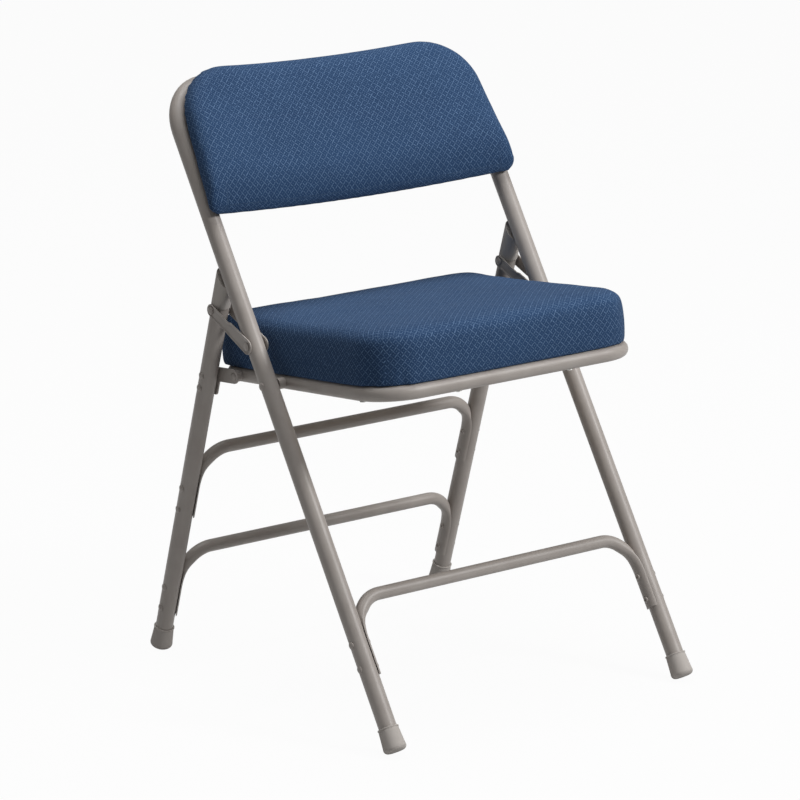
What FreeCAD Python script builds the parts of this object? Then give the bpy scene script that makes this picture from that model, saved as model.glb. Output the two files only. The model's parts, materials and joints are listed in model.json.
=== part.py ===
import FreeCAD, Part
import math
import os
from types import SimpleNamespace

import Sketcher

# Padded folding chair. Millimetres, +Z up, +X to the sitter's left-hand side as seen from the front,
# -Y towards the front. The origin is on the floor, under the middle of the chair's plan.
#
# The chair has three leaning frames and each is modelled in its own plane, then turned about X:
#   front frame  local Z runs up the front legs, local Y is square to them towards the rear
#   rear legs    local Z runs up the rear legs
#   seat         local Y runs back along the seat ring from the front pivot, local Z is square to the ring

SIZES = [
    # overall stance
    ("front_lean", 32.9, "backward lean of the front legs, degrees"),
    ("seat_tilt", 6.3, "backward slope of the seat ring, degrees"),
    ("foot_spread", 508.7, "front to rear leg axes at the floor"),
    ("leg_half_width", 223.4, "middle of the chair to each leg axis"),
    # main tube
    ("tube_diameter", 22.2, "leg and back tube"),
    ("tube_wall", 1.2, "its wall"),
    ("top_bar_reach", 872.0, "floor to top bar, along the front legs"),
    ("top_bend_radius", 60.0, "bend between front leg and top bar"),
    ("top_bar_bow", 5.5, "angle at which the top bar leaves each bend, degrees"),
    ("leg_end_margin", 30.0, "link pivot to the upper end of the rear leg tube"),
    # braces
    ("brace_diameter", 15.9, "cross brace tube"),
    ("brace_wall", 1.0, "its wall"),
    ("brace_bend_radius", 38.0, "bend at each end of a brace bar"),
    ("brace_gap", 0.2, "air between brace end and leg"),
    ("front_brace_reach", 196.7, "floor to front brace bar, along the leg"),
    ("front_brace_drop", 95.7, "front brace bar down to the brace's ends"),
    ("lower_brace_reach", 143.9, "floor to lower rear brace bar, along the leg"),
    ("lower_brace_drop", 91.9, "lower rear brace bar down to its ends"),
    ("upper_brace_reach", 292.0, "floor to upper rear brace bar, along the leg"),
    ("upper_brace_drop", 92.5, "upper rear brace bar down to its ends"),
    ("brace_rivet_inset", 11.0, "brace end to its lower rivet"),
    ("brace_rivet_pitch", 30.5, "lower to upper rivet of a brace end"),
    # feet and caps
    ("foot_length", 30.0, "rubber foot"),
    ("foot_wall", 1.7, "rubber round the tube at the foot's upper end"),
    ("foot_flare", 1.45, "how much wider each side of the tread is than the upper end"),
    ("foot_edge_radius", 4.0, "round of the tread's edge"),
    ("foot_sole", 4.5, "rubber under the tube"),
    ("foot_fit", 0.1, "air round the tube in a foot or cap"),
    ("cap_wall", 1.0, "upper cap of a rear leg"),
    ("cap_start", 5.5, "link pivot to the cap's lower rim, along the leg"),
    ("cap_reach", 53.5, "link pivot to the cap's tip"),
    ("cap_edge_radius", 3.0, "round of the cap's tip"),
    ("cap_stop_gap", 0.4, "air between cap and front leg when open"),
    # pivots
    ("seat_pivot_reach", 475.1, "floor to seat pivot, along the front leg"),
    ("rear_pivot_setback", 93.5, "front to rear pivot, along the seat ring"),
    ("rear_pivot_offset", 35.0, "rear leg axis forward to the rear pivot"),
    ("link_front_rise", 52.4, "seat pivot up to the link's front pivot, along the front leg"),
    ("link_rear_drop", 44.57, "where the rear leg's axis meets its stop, down to the link's rear pivot"),
    ("pivot_diameter", 6.0, "shank of a pivot rivet"),
    ("pivot_head_diameter", 10.0, "its head"),
    ("pivot_head_height", 1.5, "head height"),
    ("pivot_fit", 0.05, "air round a rivet or screw shank"),
    ("spacer_diameter", 14.0, "bush on a seat pivot"),
    ("side_gap", 0.15, "air at each end of a bush"),
    # links
    ("link_thickness", 1.8, "link plate"),
    ("link_front_radius", 9.5, "round of its front end"),
    ("link_rear_radius", 7.8, "round of its rear end"),
    ("link_front_gap", 0.4, "air between plate and front leg"),
    ("link_rear_gap", 0.3, "air between plate and the rear leg's cap"),
    ("link_joggle", 42.0, "front pivot to joggle"),
    ("link_joggle_lap", 3.0, "half length of the joggle's overlap"),
    # brackets
    ("bracket_thickness", 2.0, "bracket plate"),
    ("bracket_gap", 0.3, "air between bracket and leg"),
    ("bracket_drop", 41.96, "rear pivot down to the bracket's lower end, along the leg"),
    ("bracket_width", 17.0, "width of the strap"),
    ("bracket_ear_radius", 9.0, "round of the ear"),
    ("bracket_rivet_inset", 10.5, "bracket's lower end to its lower rivet"),
    ("bracket_rivet_pitch", 17.5, "lower to upper bracket rivet"),
    # small rivets
    ("rivet_diameter", 4.8, "shank of a brace or bracket rivet"),
    ("rivet_head_diameter", 9.0, "its head"),
    ("rivet_head_height", 1.9, "head height"),
    ("rivet_tail_diameter", 7.6, "rolled tail"),
    ("rivet_tail_height", 1.3, "tail height"),
    ("rivet_bore", 2.8, "hole in the tail"),
    # seat
    ("ring_diameter", 19.0, "seat ring tube"),
    ("ring_wall", 1.2, "its wall"),
    ("ring_side_gap", 9.8, "leg to the ring's side tube"),
    ("ring_front", 194.2, "front pivot forward to the ring's front tube"),
    ("ring_rear", 141.0, "front pivot back to the ring's rear tube"),
    ("ring_front_radius", 50.0, "front bends"),
    ("ring_rear_radius", 34.0, "rear bends"),
    ("panel_lift", 0.2, "air between ring and panel"),
    ("seat_panel_thickness", 6.0, "seat board"),
    ("seat_pad_height", 65.0, "seat cover, top to bottom"),
    ("seat_side_overhang", 10.0, "ring's side tube to the side of the seat cover"),
    ("seat_front_overhang", 9.8, "ring's front tube to the front of the seat cover"),
    ("seat_rear_overhang", 14.0, "ring's rear tube to the rear of the seat cover"),
    ("seat_front_radius", 60.0, "front corners of the seat cover, in plan"),
    ("seat_rear_radius", 32.0, "its rear corners"),
    ("seat_edge_radius", 14.0, "its top edge"),
    ("cover_thickness", 1.5, "fabric"),
    ("cover_gap", 0.2, "air between cover, foam and board"),
    # back
    ("back_overhang", 16.0, "top bar up to the back pad's upper edge"),
    ("back_height", 194.0, "back pad, lower to upper edge"),
    ("back_low_overhang", 10.6, "leg axis out to the pad's lower corner"),
    ("back_high_inset", 1.4, "leg axis in to the pad's side, produced to the top"),
    ("back_low_radius", 20.0, "lower corners"),
    ("back_high_radius", 73.0, "upper corners"),
    ("back_pad_depth", 29.0, "back cover, front to rear"),
    ("back_edge_radius", 16.0, "its front edge"),
    ("back_panel_thickness", 5.0, "back board"),
    ("back_panel_gap", 0.2, "air between top bar and panel"),
    # screws
    ("screw_diameter", 4.0, "shank"),
    ("screw_head_diameter", 8.0, "head"),
    ("screw_head_height", 2.2, "head height"),
    ("screw_bite", 4.0, "depth in a board"),
    ("screw_head_gap", 0.25, "air between the bowed bar and a screw head's rim"),
    ("back_screw_inset", 26.0, "pad's lower edge up to the lower back screws"),
    ("back_screw_spread", 95.0, "middle to each upper back screw"),
    ("seat_screw_setback", 44.2, "ring's front tube back to the front side screws"),
    ("seat_screw_rear", 60.0, "front pivot back to the rear side screws"),
    ("seat_screw_spread", 85.0, "middle to each front-rail screw"),
]

doc = FreeCAD.newDocument("folding_chair")
sheet = doc.addObject("Spreadsheet::Sheet", "Sizes")
for row, (alias, value, meaning) in enumerate(SIZES, start=1):
    sheet.set(f"A{row}", alias)
    sheet.set(f"B{row}", str(value))
    sheet.set(f"C{row}", meaning)
    sheet.setAlias(f"B{row}", alias)
doc.recompute()
size = SimpleNamespace(**{alias: float(sheet.get(alias)) for alias, _, _ in SIZES})

X_AXIS = FreeCAD.Vector(1, 0, 0)
Y_AXIS = FreeCAD.Vector(0, 1, 0)
Z_AXIS = FreeCAD.Vector(0, 0, 1)
TOUCH = 0.02  # edges and points closer than this count as lying on a face
SAMPLE_SHARES = (0.1, 0.5, 0.9)  # places along an edge where it is compared with a face
LEFT, RIGHT = -1, 1
SIDES = {"left": LEFT, "right": RIGHT}
subparts = []


# ---------------------------------------------------------------- frames and pivots

def radians(degrees):
    return math.radians(degrees)


def turned(base, angle):
    """Placement at base, turned about X by angle in degrees."""
    return FreeCAD.Placement(base, FreeCAD.Rotation(X_AXIS, angle))


def rear_leg_lean():
    """Angle at which a rear leg on its floor point passes its offset behind the rear pivot, degrees."""
    pivot = turned(FreeCAD.Vector(), -size.front_lean).multVec(Z_AXIS * size.seat_pivot_reach)
    pivot += turned(FreeCAD.Vector(), -size.seat_tilt).multVec(Y_AXIS * size.rear_pivot_setback)
    to_pivot = pivot - Y_AXIS * size.foot_spread
    pivot_lean = math.atan2(-to_pivot.y, to_pivot.z)
    return math.degrees(pivot_lean - math.asin(size.rear_pivot_offset / to_pivot.Length))


rear_lean = rear_leg_lean()
leg_radius = size.tube_diameter / 2
cap_radius = leg_radius + size.cap_wall
tread_radius = leg_radius + size.foot_wall + size.foot_flare - size.foot_edge_radius


def tread_height(lean):
    """Height of a leaning foot's tread centre when the tread's rounded edge touches the floor."""
    lean = radians(lean)
    return tread_radius * math.sin(lean) + size.foot_edge_radius * (1 - math.cos(lean))


def foot_start(lean):
    """Distance up the leg axis from the floor to a foot's tread."""
    return tread_height(lean) / math.cos(radians(lean))


def foot_overhang(lean):
    """How far a foot reaches past its leg axis's floor point, away from the chair's middle."""
    along = foot_start(lean) + size.foot_edge_radius
    lean = radians(lean)
    return tread_radius * math.cos(lean) + size.foot_edge_radius - along * math.sin(lean)


front_foot_start = foot_start(size.front_lean)
rear_foot_start = foot_start(rear_lean)

# The plan's middle lies halfway between the outer edges of the front and rear feet.
front_foot_y = (foot_overhang(size.front_lean) - foot_overhang(rear_lean) - size.foot_spread) / 2
rear_foot_y = front_foot_y + size.foot_spread

front_frame = turned(FreeCAD.Vector(0, front_foot_y, 0), -size.front_lean)
rear_frame = turned(FreeCAD.Vector(0, rear_foot_y, 0), rear_lean)
seat_pivot = front_frame.multVec(Z_AXIS * size.seat_pivot_reach)
seat_frame = turned(seat_pivot, -size.seat_tilt)
rear_pivot = seat_frame.multVec(Y_AXIS * size.rear_pivot_setback)
rear_pivot_in_leg = rear_frame.inverse().multVec(rear_pivot)

# The rear leg's cap stops against the rear side of the front leg, where the leg's axis meets it.
stop_offset = leg_radius + size.cap_stop_gap
stop_reach = ((size.foot_spread * math.cos(radians(size.front_lean)) - stop_offset)
              / math.sin(radians(size.front_lean + rear_lean)))
link_pivot_reach = size.seat_pivot_reach + size.link_front_rise
leg_pivot_reach = stop_reach - size.link_rear_drop
rear_leg_length = leg_pivot_reach + size.leg_end_margin
link_front_pivot = front_frame.multVec(Z_AXIS * link_pivot_reach)
link_rear_pivot = rear_frame.multVec(Z_AXIS * leg_pivot_reach)
link_vector = link_rear_pivot - link_front_pivot
link_length = link_vector.Length
link_frame = turned(link_front_pivot, math.degrees(math.atan2(link_vector.z, link_vector.y)))

ring_half_width = size.leg_half_width - leg_radius - size.ring_side_gap - size.ring_diameter / 2
ring_outer = ring_half_width + size.ring_diameter / 2
ring_inner = ring_half_width - size.ring_diameter / 2
back_high = size.top_bar_reach + size.back_overhang
back_low = back_high - size.back_height


# ---------------------------------------------------------------- building helpers

def add(kind, name, **bindings):
    """A document object whose properties are bound to the sheet by expression."""
    made = doc.addObject(kind, name)
    for prop, expression in bindings.items():
        made.setExpression(prop.replace("__", "."), expression)
    return made


def keep(made, label, placement=None):
    """Names a finished sub-part and, where it is modelled in a leaning frame, puts it there."""
    made.Label = label
    if placement is not None:
        made.Placement = placement.multiply(made.Placement)
    subparts.append(made)
    return made


def cut(base, tool, name):
    made = doc.addObject("Part::Cut", name)
    made.Base = base
    made.Tool = tool
    return made


def fuse(pieces, name):
    made = doc.addObject("Part::MultiFuse", name)
    made.Shapes = pieces
    return made


def group(pieces, name):
    """Separate solids kept together under one name."""
    made = doc.addObject("Part::Compound", name)
    made.Links = pieces
    return made


def cylinder(name, radius, height, base, axis=Z_AXIS):
    """Cylinder with its radius and height given as sheet expressions, from base along axis."""
    made = add("Part::Cylinder", name, Radius=radius, Height=height)
    made.Placement = FreeCAD.Placement(base, FreeCAD.Rotation(Z_AXIS, axis))
    return made


def drill(name, radius, base, axis, length):
    """Long cylinder that cuts a hole through whatever it meets."""
    made = add("Part::Cylinder", name, Radius=radius)
    made.Height = length
    made.Placement = FreeCAD.Placement(base, FreeCAD.Rotation(Z_AXIS, axis))
    return made


def cross_drills(name, places, diameter):
    """One long drill across the chair for each (y, z) place, so that it meets both sides."""
    reach = size.leg_half_width + size.tube_diameter
    radius = f"Sizes.{diameter} / 2 + Sizes.pivot_fit"
    return [drill(f"{name}_{index}", radius, FreeCAD.Vector(-reach, y, z), X_AXIS, 2 * reach)
            for index, (y, z) in enumerate(places)]


def bent_path(name, corners, radii, closed=False):
    """Wire of straight runs through corners, joined by tangent arcs of the given radii."""
    count = len(corners)
    inner = range(count) if closed else range(1, count - 1)
    cuts = {}
    for index, radius in zip(inner, radii):
        here = corners[index]
        back = (corners[index - 1] - here).normalize()
        ahead = (corners[(index + 1) % count] - here).normalize()
        half_turn = back.getAngle(ahead) / 2
        reach = radius / math.tan(half_turn)
        middle = here + (back + ahead).normalize() * (radius / math.sin(half_turn) - radius)
        cuts[index] = (here + back * reach, middle, here + ahead * reach)
    edges = []
    last = cuts[0][2] if closed else corners[0]
    for index in list(range(1, count)) + ([0] if closed else []):
        if index in cuts:
            start, middle, end = cuts[index]
            edges.append(Part.LineSegment(last, start).toShape())
            edges.append(Part.Arc(start, middle, end).toShape())
            last = end
        else:
            edges.append(Part.LineSegment(last, corners[index]).toShape())
    return path_feature(name, edges)


def path_feature(name, edges):
    wire = doc.addObject("Part::Feature", name)
    wire.Shape = Part.Wire(edges)
    return wire


def swept_tube(name, path, diameter, wall):
    """Hollow tube along a path: an outer and an inner sweep of circles bound to the sheet."""
    first = path.Shape.Edges[0]
    start = first.valueAt(first.FirstParameter)
    heading = first.tangentAt(first.FirstParameter)
    sweeps = []
    for skin, radius in (("outer", f"Sizes.{diameter} / 2"),
                         ("inner", f"Sizes.{diameter} / 2 - Sizes.{wall}")):
        ring = add("Part::Circle", f"{name}_{skin}_circle", Radius=radius)
        ring.Placement = FreeCAD.Placement(start, FreeCAD.Rotation(Z_AXIS, heading))
        sweep = doc.addObject("Part::Sweep", f"{name}_{skin}")
        sweep.Sections = [ring]
        sweep.Spine = (path, [f"Edge{n + 1}" for n in range(len(path.Shape.Edges))])
        sweep.Solid = True
        sweeps.append(sweep)
    return cut(sweeps[0], sweeps[1], f"{name}_tube")


def straight_tube(name, diameter, wall, start, length):
    """Hollow straight tube along local Z from the given start point."""
    outer = drill(f"{name}_outer", f"Sizes.{diameter} / 2", start, Z_AXIS, length)
    inner = drill(f"{name}_inner", f"Sizes.{diameter} / 2 - Sizes.{wall}", start, Z_AXIS, length)
    return cut(outer, inner, f"{name}_tube")


def drilled(tube, drills, name):
    return cut(tube, fuse(drills, f"{name}_drills"), name)


def dome(name, diameter, height, base, axis):
    """Low round rivet head: the cap of a sphere, flat side at base, bulging along axis."""
    rise = getattr(size, height)
    half = getattr(size, diameter) / 2
    radius = (half ** 2 + rise ** 2) / (2 * rise)
    cap = doc.addObject("Part::Sphere", name)
    cap.Radius = radius
    cap.Angle1 = math.degrees(math.asin((radius - rise) / radius))
    cap.Angle2 = 90
    axis = FreeCAD.Vector(axis)
    cap.Placement = FreeCAD.Placement(base - axis * (radius - rise), FreeCAD.Rotation(Z_AXIS, axis))
    return cap


def rivet(name, head_at, tail_at, shank="rivet_diameter", head="rivet_head", tail="rivet_tail"):
    """Semi-tubular rivet from its head's seat to its tail's seat, with the tail's small hole."""
    axis = (tail_at - head_at).normalize()
    length = (tail_at - head_at).Length
    overlap = size.rivet_tail_height / 2
    body = drill(f"{name}_shank", f"Sizes.{shank} / 2", head_at, axis, length + overlap)
    rounds = [body, dome(f"{name}_head", f"{head}_diameter", f"{head}_height", head_at, -axis),
              dome(f"{name}_tail", f"{tail}_diameter", f"{tail}_height", tail_at, axis)]
    solid = fuse(rounds, f"{name}_solid")
    bore = drill(f"{name}_bore", "Sizes.rivet_bore / 2", tail_at - axis * overlap, axis, 4 * overlap)
    return cut(solid, bore, name)


def screw(name, seat_at, tip_at):
    """Pan-head screw from its head's seat to its tip."""
    axis = (tip_at - seat_at).normalize()
    body = drill(f"{name}_shank", "Sizes.screw_diameter / 2", seat_at, axis, (tip_at - seat_at).Length)
    return fuse([body, dome(f"{name}_head", "screw_head_diameter", "screw_head_height", seat_at, -axis)],
                name)


def plate_outline(sketch, first, first_radius, second, second_radius):
    """Closed belt round two circles of a plate, as two arcs and their two outer tangent lines."""
    span = second - first
    base_angle = math.atan2(span.y, span.x)
    spread = math.acos((first_radius - second_radius) / span.Length)
    up, down = base_angle + spread, base_angle - spread

    def at(centre, radius, angle):
        return centre + FreeCAD.Vector(radius * math.cos(angle), radius * math.sin(angle), 0)

    ends = [(first, first_radius, up, down + 2 * math.pi), (second, second_radius, down, up)]
    for centre, radius, start, end in ends:
        circle = Part.Circle(centre, Z_AXIS, radius)
        sketch.addGeometry(Part.ArcOfCircle(circle, start, end), False)
    for angle in (up, down):
        line = Part.LineSegment(at(first, first_radius, angle), at(second, second_radius, angle))
        sketch.addGeometry(line, False)


def origin_plane(body, role):
    return next(plane for plane in body.Origin.OriginFeatures if plane.Role == role)


def new_sketch(body, name, role, lift=0.0):
    sketch = body.newObject("Sketcher::SketchObject", name)
    sketch.AttachmentSupport = [(origin_plane(body, role), "")]
    sketch.MapMode = "FlatFace"
    sketch.AttachmentOffset = FreeCAD.Placement(FreeCAD.Vector(0, 0, lift), FreeCAD.Rotation())
    return sketch


def padded(body, sketch, length, name):
    """Pad of a sketch along its normal, with its length bound to the sheet."""
    pad = body.newObject("PartDesign::Pad", name)
    pad.Profile = sketch
    pad.setExpression("Length", length)
    body.Tip = pad
    return pad


def rounded_outline(sketch, corners, radii):
    """Closed outline through corners in order, each rounded with its own radius and held tangent."""
    count = len(corners)
    arcs, ends = [], []
    for index, (corner, radius) in enumerate(zip(corners, radii)):
        back = (corners[index - 1] - corner).normalize()
        ahead = (corners[(index + 1) % count] - corner).normalize()
        half_turn = back.getAngle(ahead) / 2
        reach = radius / math.tan(half_turn)
        inward = (back + ahead).normalize()
        middle = corner + inward * (radius / math.sin(half_turn) - radius)
        arcs.append(Part.Arc(corner + back * reach, middle, corner + ahead * reach))
        ends.append((corner + back * reach, corner + ahead * reach))
    for index, arc in enumerate(arcs):
        sketch.addGeometry(arc, False)
        sketch.addGeometry(Part.LineSegment(ends[index][1], ends[(index + 1) % count][0]), False)


# ---------------------------------------------------------------- tubes

brace_half_width = size.leg_half_width - leg_radius - size.brace_gap - size.brace_diameter / 2
front_brace_end = size.front_brace_reach - size.front_brace_drop
lower_brace_end = size.lower_brace_reach - size.lower_brace_drop
upper_brace_end = size.upper_brace_reach - size.upper_brace_drop


def brace_rivet_heights(end):
    low = end + size.brace_rivet_inset
    return [low, low + size.brace_rivet_pitch]


def make_front_frame_tube():
    """Both front legs and the top bar, which bows to the rear between the two bends."""
    bow = radians(size.top_bar_bow)
    start = front_foot_start + size.foot_sole
    bend_low = size.top_bar_reach - size.top_bend_radius
    outward = FreeCAD.Vector(math.cos(bow), -math.sin(bow), 0)
    bend_end = (FreeCAD.Vector(size.leg_half_width, 0, bend_low)
                - outward * size.top_bend_radius + Z_AXIS * size.top_bend_radius)
    centre = bend_end - Z_AXIS * size.top_bend_radius
    diagonal = (outward + Z_AXIS).normalize() * size.top_bend_radius
    bar_radius = bend_end.x / math.sin(bow)
    bar_rear = FreeCAD.Vector(0, bend_end.y + bar_radius * (1 - math.cos(bow)), size.top_bar_reach)

    def mirrored(point):
        return FreeCAD.Vector(-point.x, point.y, point.z)

    foot = FreeCAD.Vector(size.leg_half_width, 0, start)
    knee = FreeCAD.Vector(size.leg_half_width, 0, bend_low)
    edges = [Part.LineSegment(mirrored(foot), mirrored(knee)).toShape(),
             Part.Arc(mirrored(knee), mirrored(centre + diagonal), mirrored(bend_end)).toShape(),
             Part.Arc(mirrored(bend_end), bar_rear, bend_end).toShape(),
             Part.Arc(bend_end, centre + diagonal, knee).toShape(),
             Part.LineSegment(knee, foot).toShape()]
    path = path_feature("front_frame_path", edges)
    tube = swept_tube("front_frame_bend", path, "tube_diameter", "tube_wall")
    rivets = [(0, height) for height in brace_rivet_heights(front_brace_end)]
    drills = cross_drills("front_brace_hole", rivets, "rivet_diameter")
    pivots = [(0, size.seat_pivot_reach), (0, link_pivot_reach)]
    drills += cross_drills("front_pivot_hole", pivots, "pivot_diameter")
    for index, place in enumerate(back_screw_places(bar_rear.y, bar_radius)):
        drills.append(drill(f"back_screw_hole_{index}", "Sizes.screw_diameter / 2 + Sizes.pivot_fit",
                            place - Y_AXIS * size.tube_diameter, Y_AXIS, 2 * size.tube_diameter))
    keep(drilled(tube, drills, "front_frame_drilled"), "front_frame_tube", front_frame)
    return bar_rear.y, bar_radius


def back_screw_places(bar_rear, bar_radius):
    """Tube-axis points where the back screws cross the frame tube."""
    sagitta = bar_radius - math.sqrt(bar_radius ** 2 - size.back_screw_spread ** 2)
    places = []
    for side in SIDES.values():
        places.append(FreeCAD.Vector(side * size.leg_half_width, 0, back_low + size.back_screw_inset))
        places.append(FreeCAD.Vector(side * size.back_screw_spread, bar_rear - sagitta,
                                     size.top_bar_reach))
    return places


def make_brace(label, end, reach, frame):
    """Inverted-U brace whose ends run down the inner side of the legs."""
    corners = [FreeCAD.Vector(-brace_half_width, 0, end), FreeCAD.Vector(-brace_half_width, 0, reach),
               FreeCAD.Vector(brace_half_width, 0, reach), FreeCAD.Vector(brace_half_width, 0, end)]
    path = bent_path(f"{label}_path", corners, [size.brace_bend_radius] * 2)
    tube = swept_tube(label, path, "brace_diameter", "brace_wall")
    drills = cross_drills(f"{label}_hole", [(0, height) for height in brace_rivet_heights(end)],
                          "rivet_diameter")
    keep(drilled(tube, drills, f"{label}_drilled"), label, frame)


def make_brace_rivets(label, ends, frame):
    """Rivets through leg and brace, heads outside, two at each end of each brace."""
    head_x = size.leg_half_width + leg_radius
    tail_x = brace_half_width - size.brace_diameter / 2
    rivets = []
    for end in ends:
        for height in brace_rivet_heights(end):
            for side in SIDES.values():
                rivets.append(rivet(f"{label}_{len(rivets)}", FreeCAD.Vector(side * head_x, 0, height),
                                    FreeCAD.Vector(side * tail_x, 0, height)))
    keep(group(rivets, f"{label}_group"), label, frame)


def make_rear_legs():
    start = rear_foot_start + size.foot_sole
    heights = brace_rivet_heights(lower_brace_end) + brace_rivet_heights(upper_brace_end)
    heights += bracket_rivet_heights()
    for label, side in SIDES.items():
        name = f"{label}_rear_leg"
        base = FreeCAD.Vector(side * size.leg_half_width, 0, start)
        tube = straight_tube(name, "tube_diameter", "tube_wall", base, rear_leg_length - start)
        drills = cross_drills(f"{name}_hole", [(0, height) for height in heights], "rivet_diameter")
        keep(drilled(tube, drills, f"{name}_drilled"), name, rear_frame)


# ---------------------------------------------------------------- feet and caps

def rounded_end(solid, name, height, radius):
    """Rounds the flat round end that a turned solid has at the given height."""
    doc.recompute()
    edges = [index for index, edge in enumerate(solid.Shape.Edges, start=1)
             if edge.isClosed() and abs(edge.CenterOfMass.z - height) < TOUCH]
    rounded = doc.addObject("Part::Fillet", name)
    rounded.Base = solid
    rounded.Edges = [(index, radius, radius) for index in edges]
    return rounded


def make_foot(label, side, start, frame):
    """Tapered rubber foot with a rounded tread and a blind bore for the leg."""
    base = FreeCAD.Vector(side * size.leg_half_width, 0, start)
    cone = add("Part::Cone", f"{label}_cone", Height="Sizes.foot_length",
               Radius1="Sizes.tube_diameter / 2 + Sizes.foot_wall + Sizes.foot_flare",
               Radius2="Sizes.tube_diameter / 2 + Sizes.foot_wall")
    cone.Placement.Base = base
    rounded = rounded_end(cone, f"{label}_rounded", start, size.foot_edge_radius)
    bore = cylinder(f"{label}_bore", "Sizes.tube_diameter / 2 + Sizes.foot_fit", "Sizes.foot_length",
                    base + Z_AXIS * (size.foot_sole - size.foot_fit))
    keep(cut(rounded, bore, f"{label}_bored"), label, frame)


def make_leg_cap(label, side):
    """Cap over the upper end of a rear leg, cut to a wedge that lies along the front leg."""
    axis_x = side * size.leg_half_width
    low = leg_pivot_reach + size.cap_start
    base = FreeCAD.Vector(axis_x, 0, low)
    body = cylinder(f"{label}_body", "Sizes.tube_diameter / 2 + Sizes.cap_wall",
                    "Sizes.cap_reach - Sizes.cap_start", base)
    rounded = rounded_end(body, f"{label}_rounded", leg_pivot_reach + size.cap_reach, size.cap_edge_radius)
    bore = cylinder(f"{label}_bore", "Sizes.tube_diameter / 2 + Sizes.foot_fit",
                    "Sizes.leg_end_margin - Sizes.cap_start + Sizes.foot_fit", base)
    # Block whose rear face is the front leg's rear side, moved back by the stop's gap.
    block_side = 2 * size.cap_reach
    block = doc.addObject("Part::Box", f"{label}_block")
    block.Length, block.Width, block.Height = block_side, block_side, block_side
    link_height = front_frame.inverse().multVec(link_rear_pivot).z
    corner = FreeCAD.Vector(axis_x - block_side / 2, stop_offset - block_side,
                            link_height - 2 * cap_radius)
    in_front = FreeCAD.Placement(corner, FreeCAD.Rotation())
    block.Placement = rear_frame.inverse().multiply(front_frame).multiply(in_front)
    keep(cut(rounded, fuse([bore, block], f"{label}_tools"), f"{label}_cut"), label, rear_frame)


# ---------------------------------------------------------------- brackets and links

bracket_low = rear_pivot_in_leg.z - size.bracket_drop


def bracket_rivet_heights():
    low = bracket_low + size.bracket_rivet_inset
    return [low, low + size.bracket_rivet_pitch]


bracket_outer = size.leg_half_width - leg_radius - size.bracket_gap


def make_bracket(label, side):
    """Strap on the leg's inner side, with an ear forward to the seat ring's rear pivot."""
    body = doc.addObject("PartDesign::Body", f"{label}_plate")
    inner_face = side * bracket_outer if side == LEFT else side * bracket_outer - size.bracket_thickness
    half = size.bracket_width / 2
    ear = FreeCAD.Vector(rear_pivot_in_leg.y, rear_pivot_in_leg.z, 0)
    root = FreeCAD.Vector(0, ear.y + ear.x * math.tan(radians(rear_lean + size.seat_tilt)), 0)
    strap = new_sketch(body, f"{label}_strap_sketch", "YZ_Plane", inner_face)
    top = root.y + size.bracket_ear_radius
    corners = [FreeCAD.Vector(y, z, 0)
               for y, z in ((-half, bracket_low), (half, bracket_low), (half, top), (-half, top))]
    rounded_outline(strap, corners, [half / 2] * 4)
    padded(body, strap, "Sizes.bracket_thickness", f"{label}_strap")
    reach = new_sketch(body, f"{label}_ear_sketch", "YZ_Plane", inner_face)
    plate_outline(reach, ear, size.bracket_ear_radius, root, size.bracket_ear_radius)
    padded(body, reach, "Sizes.bracket_thickness", f"{label}_ear")
    holes = cross_drills(f"{label}_hole", [(0, height) for height in bracket_rivet_heights()],
                         "rivet_diameter")
    holes += cross_drills(f"{label}_pivot_hole", [(ear.x, ear.y)], "pivot_diameter")
    keep(drilled(body, holes, f"{label}_drilled"), label, rear_frame)


def make_bracket_rivets():
    head_x = size.leg_half_width + leg_radius
    tail_x = bracket_outer - size.bracket_thickness
    rivets = []
    for height in bracket_rivet_heights():
        for side in SIDES.values():
            rivets.append(rivet(f"bracket_rivet_{len(rivets)}", FreeCAD.Vector(side * head_x, 0, height),
                                FreeCAD.Vector(side * tail_x, 0, height)))
    keep(group(rivets, "bracket_rivets_group"), "bracket_rivets", rear_frame)


link_front_offset = leg_radius + size.link_front_gap
link_rear_offset = cap_radius + size.link_rear_gap


def make_link(label, side, facing):
    """Joggled plate beside the legs; facing is outward (+1) or inward (-1) of the leg's own axis."""
    body = doc.addObject("PartDesign::Body", f"{label}_plate")
    joint = FreeCAD.Vector(size.link_joggle, 0, 0)
    lap = FreeCAD.Vector(size.link_joggle_lap, 0, 0)
    halves = [("front", FreeCAD.Vector(0, 0, 0), size.link_front_radius, joint + lap,
               size.link_rear_radius, link_front_offset),
              ("rear", joint - lap, size.link_rear_radius - size.link_joggle_lap / 2,
               FreeCAD.Vector(link_length, 0, 0), size.link_rear_radius, link_rear_offset)]
    for name, first, first_radius, second, second_radius, offset in halves:
        near = side * (size.leg_half_width + facing * offset)
        lift = near if side * facing > 0 else near - size.link_thickness
        sketch = new_sketch(body, f"{label}_{name}_sketch", "YZ_Plane", lift)
        plate_outline(sketch, first, first_radius, second, second_radius)
        padded(body, sketch, "Sizes.link_thickness", f"{label}_{name}")
    holes = cross_drills(f"{label}_hole", [(0, 0), (link_length, 0)], "pivot_diameter")
    keep(drilled(body, holes, f"{label}_drilled"), label, link_frame)


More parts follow.
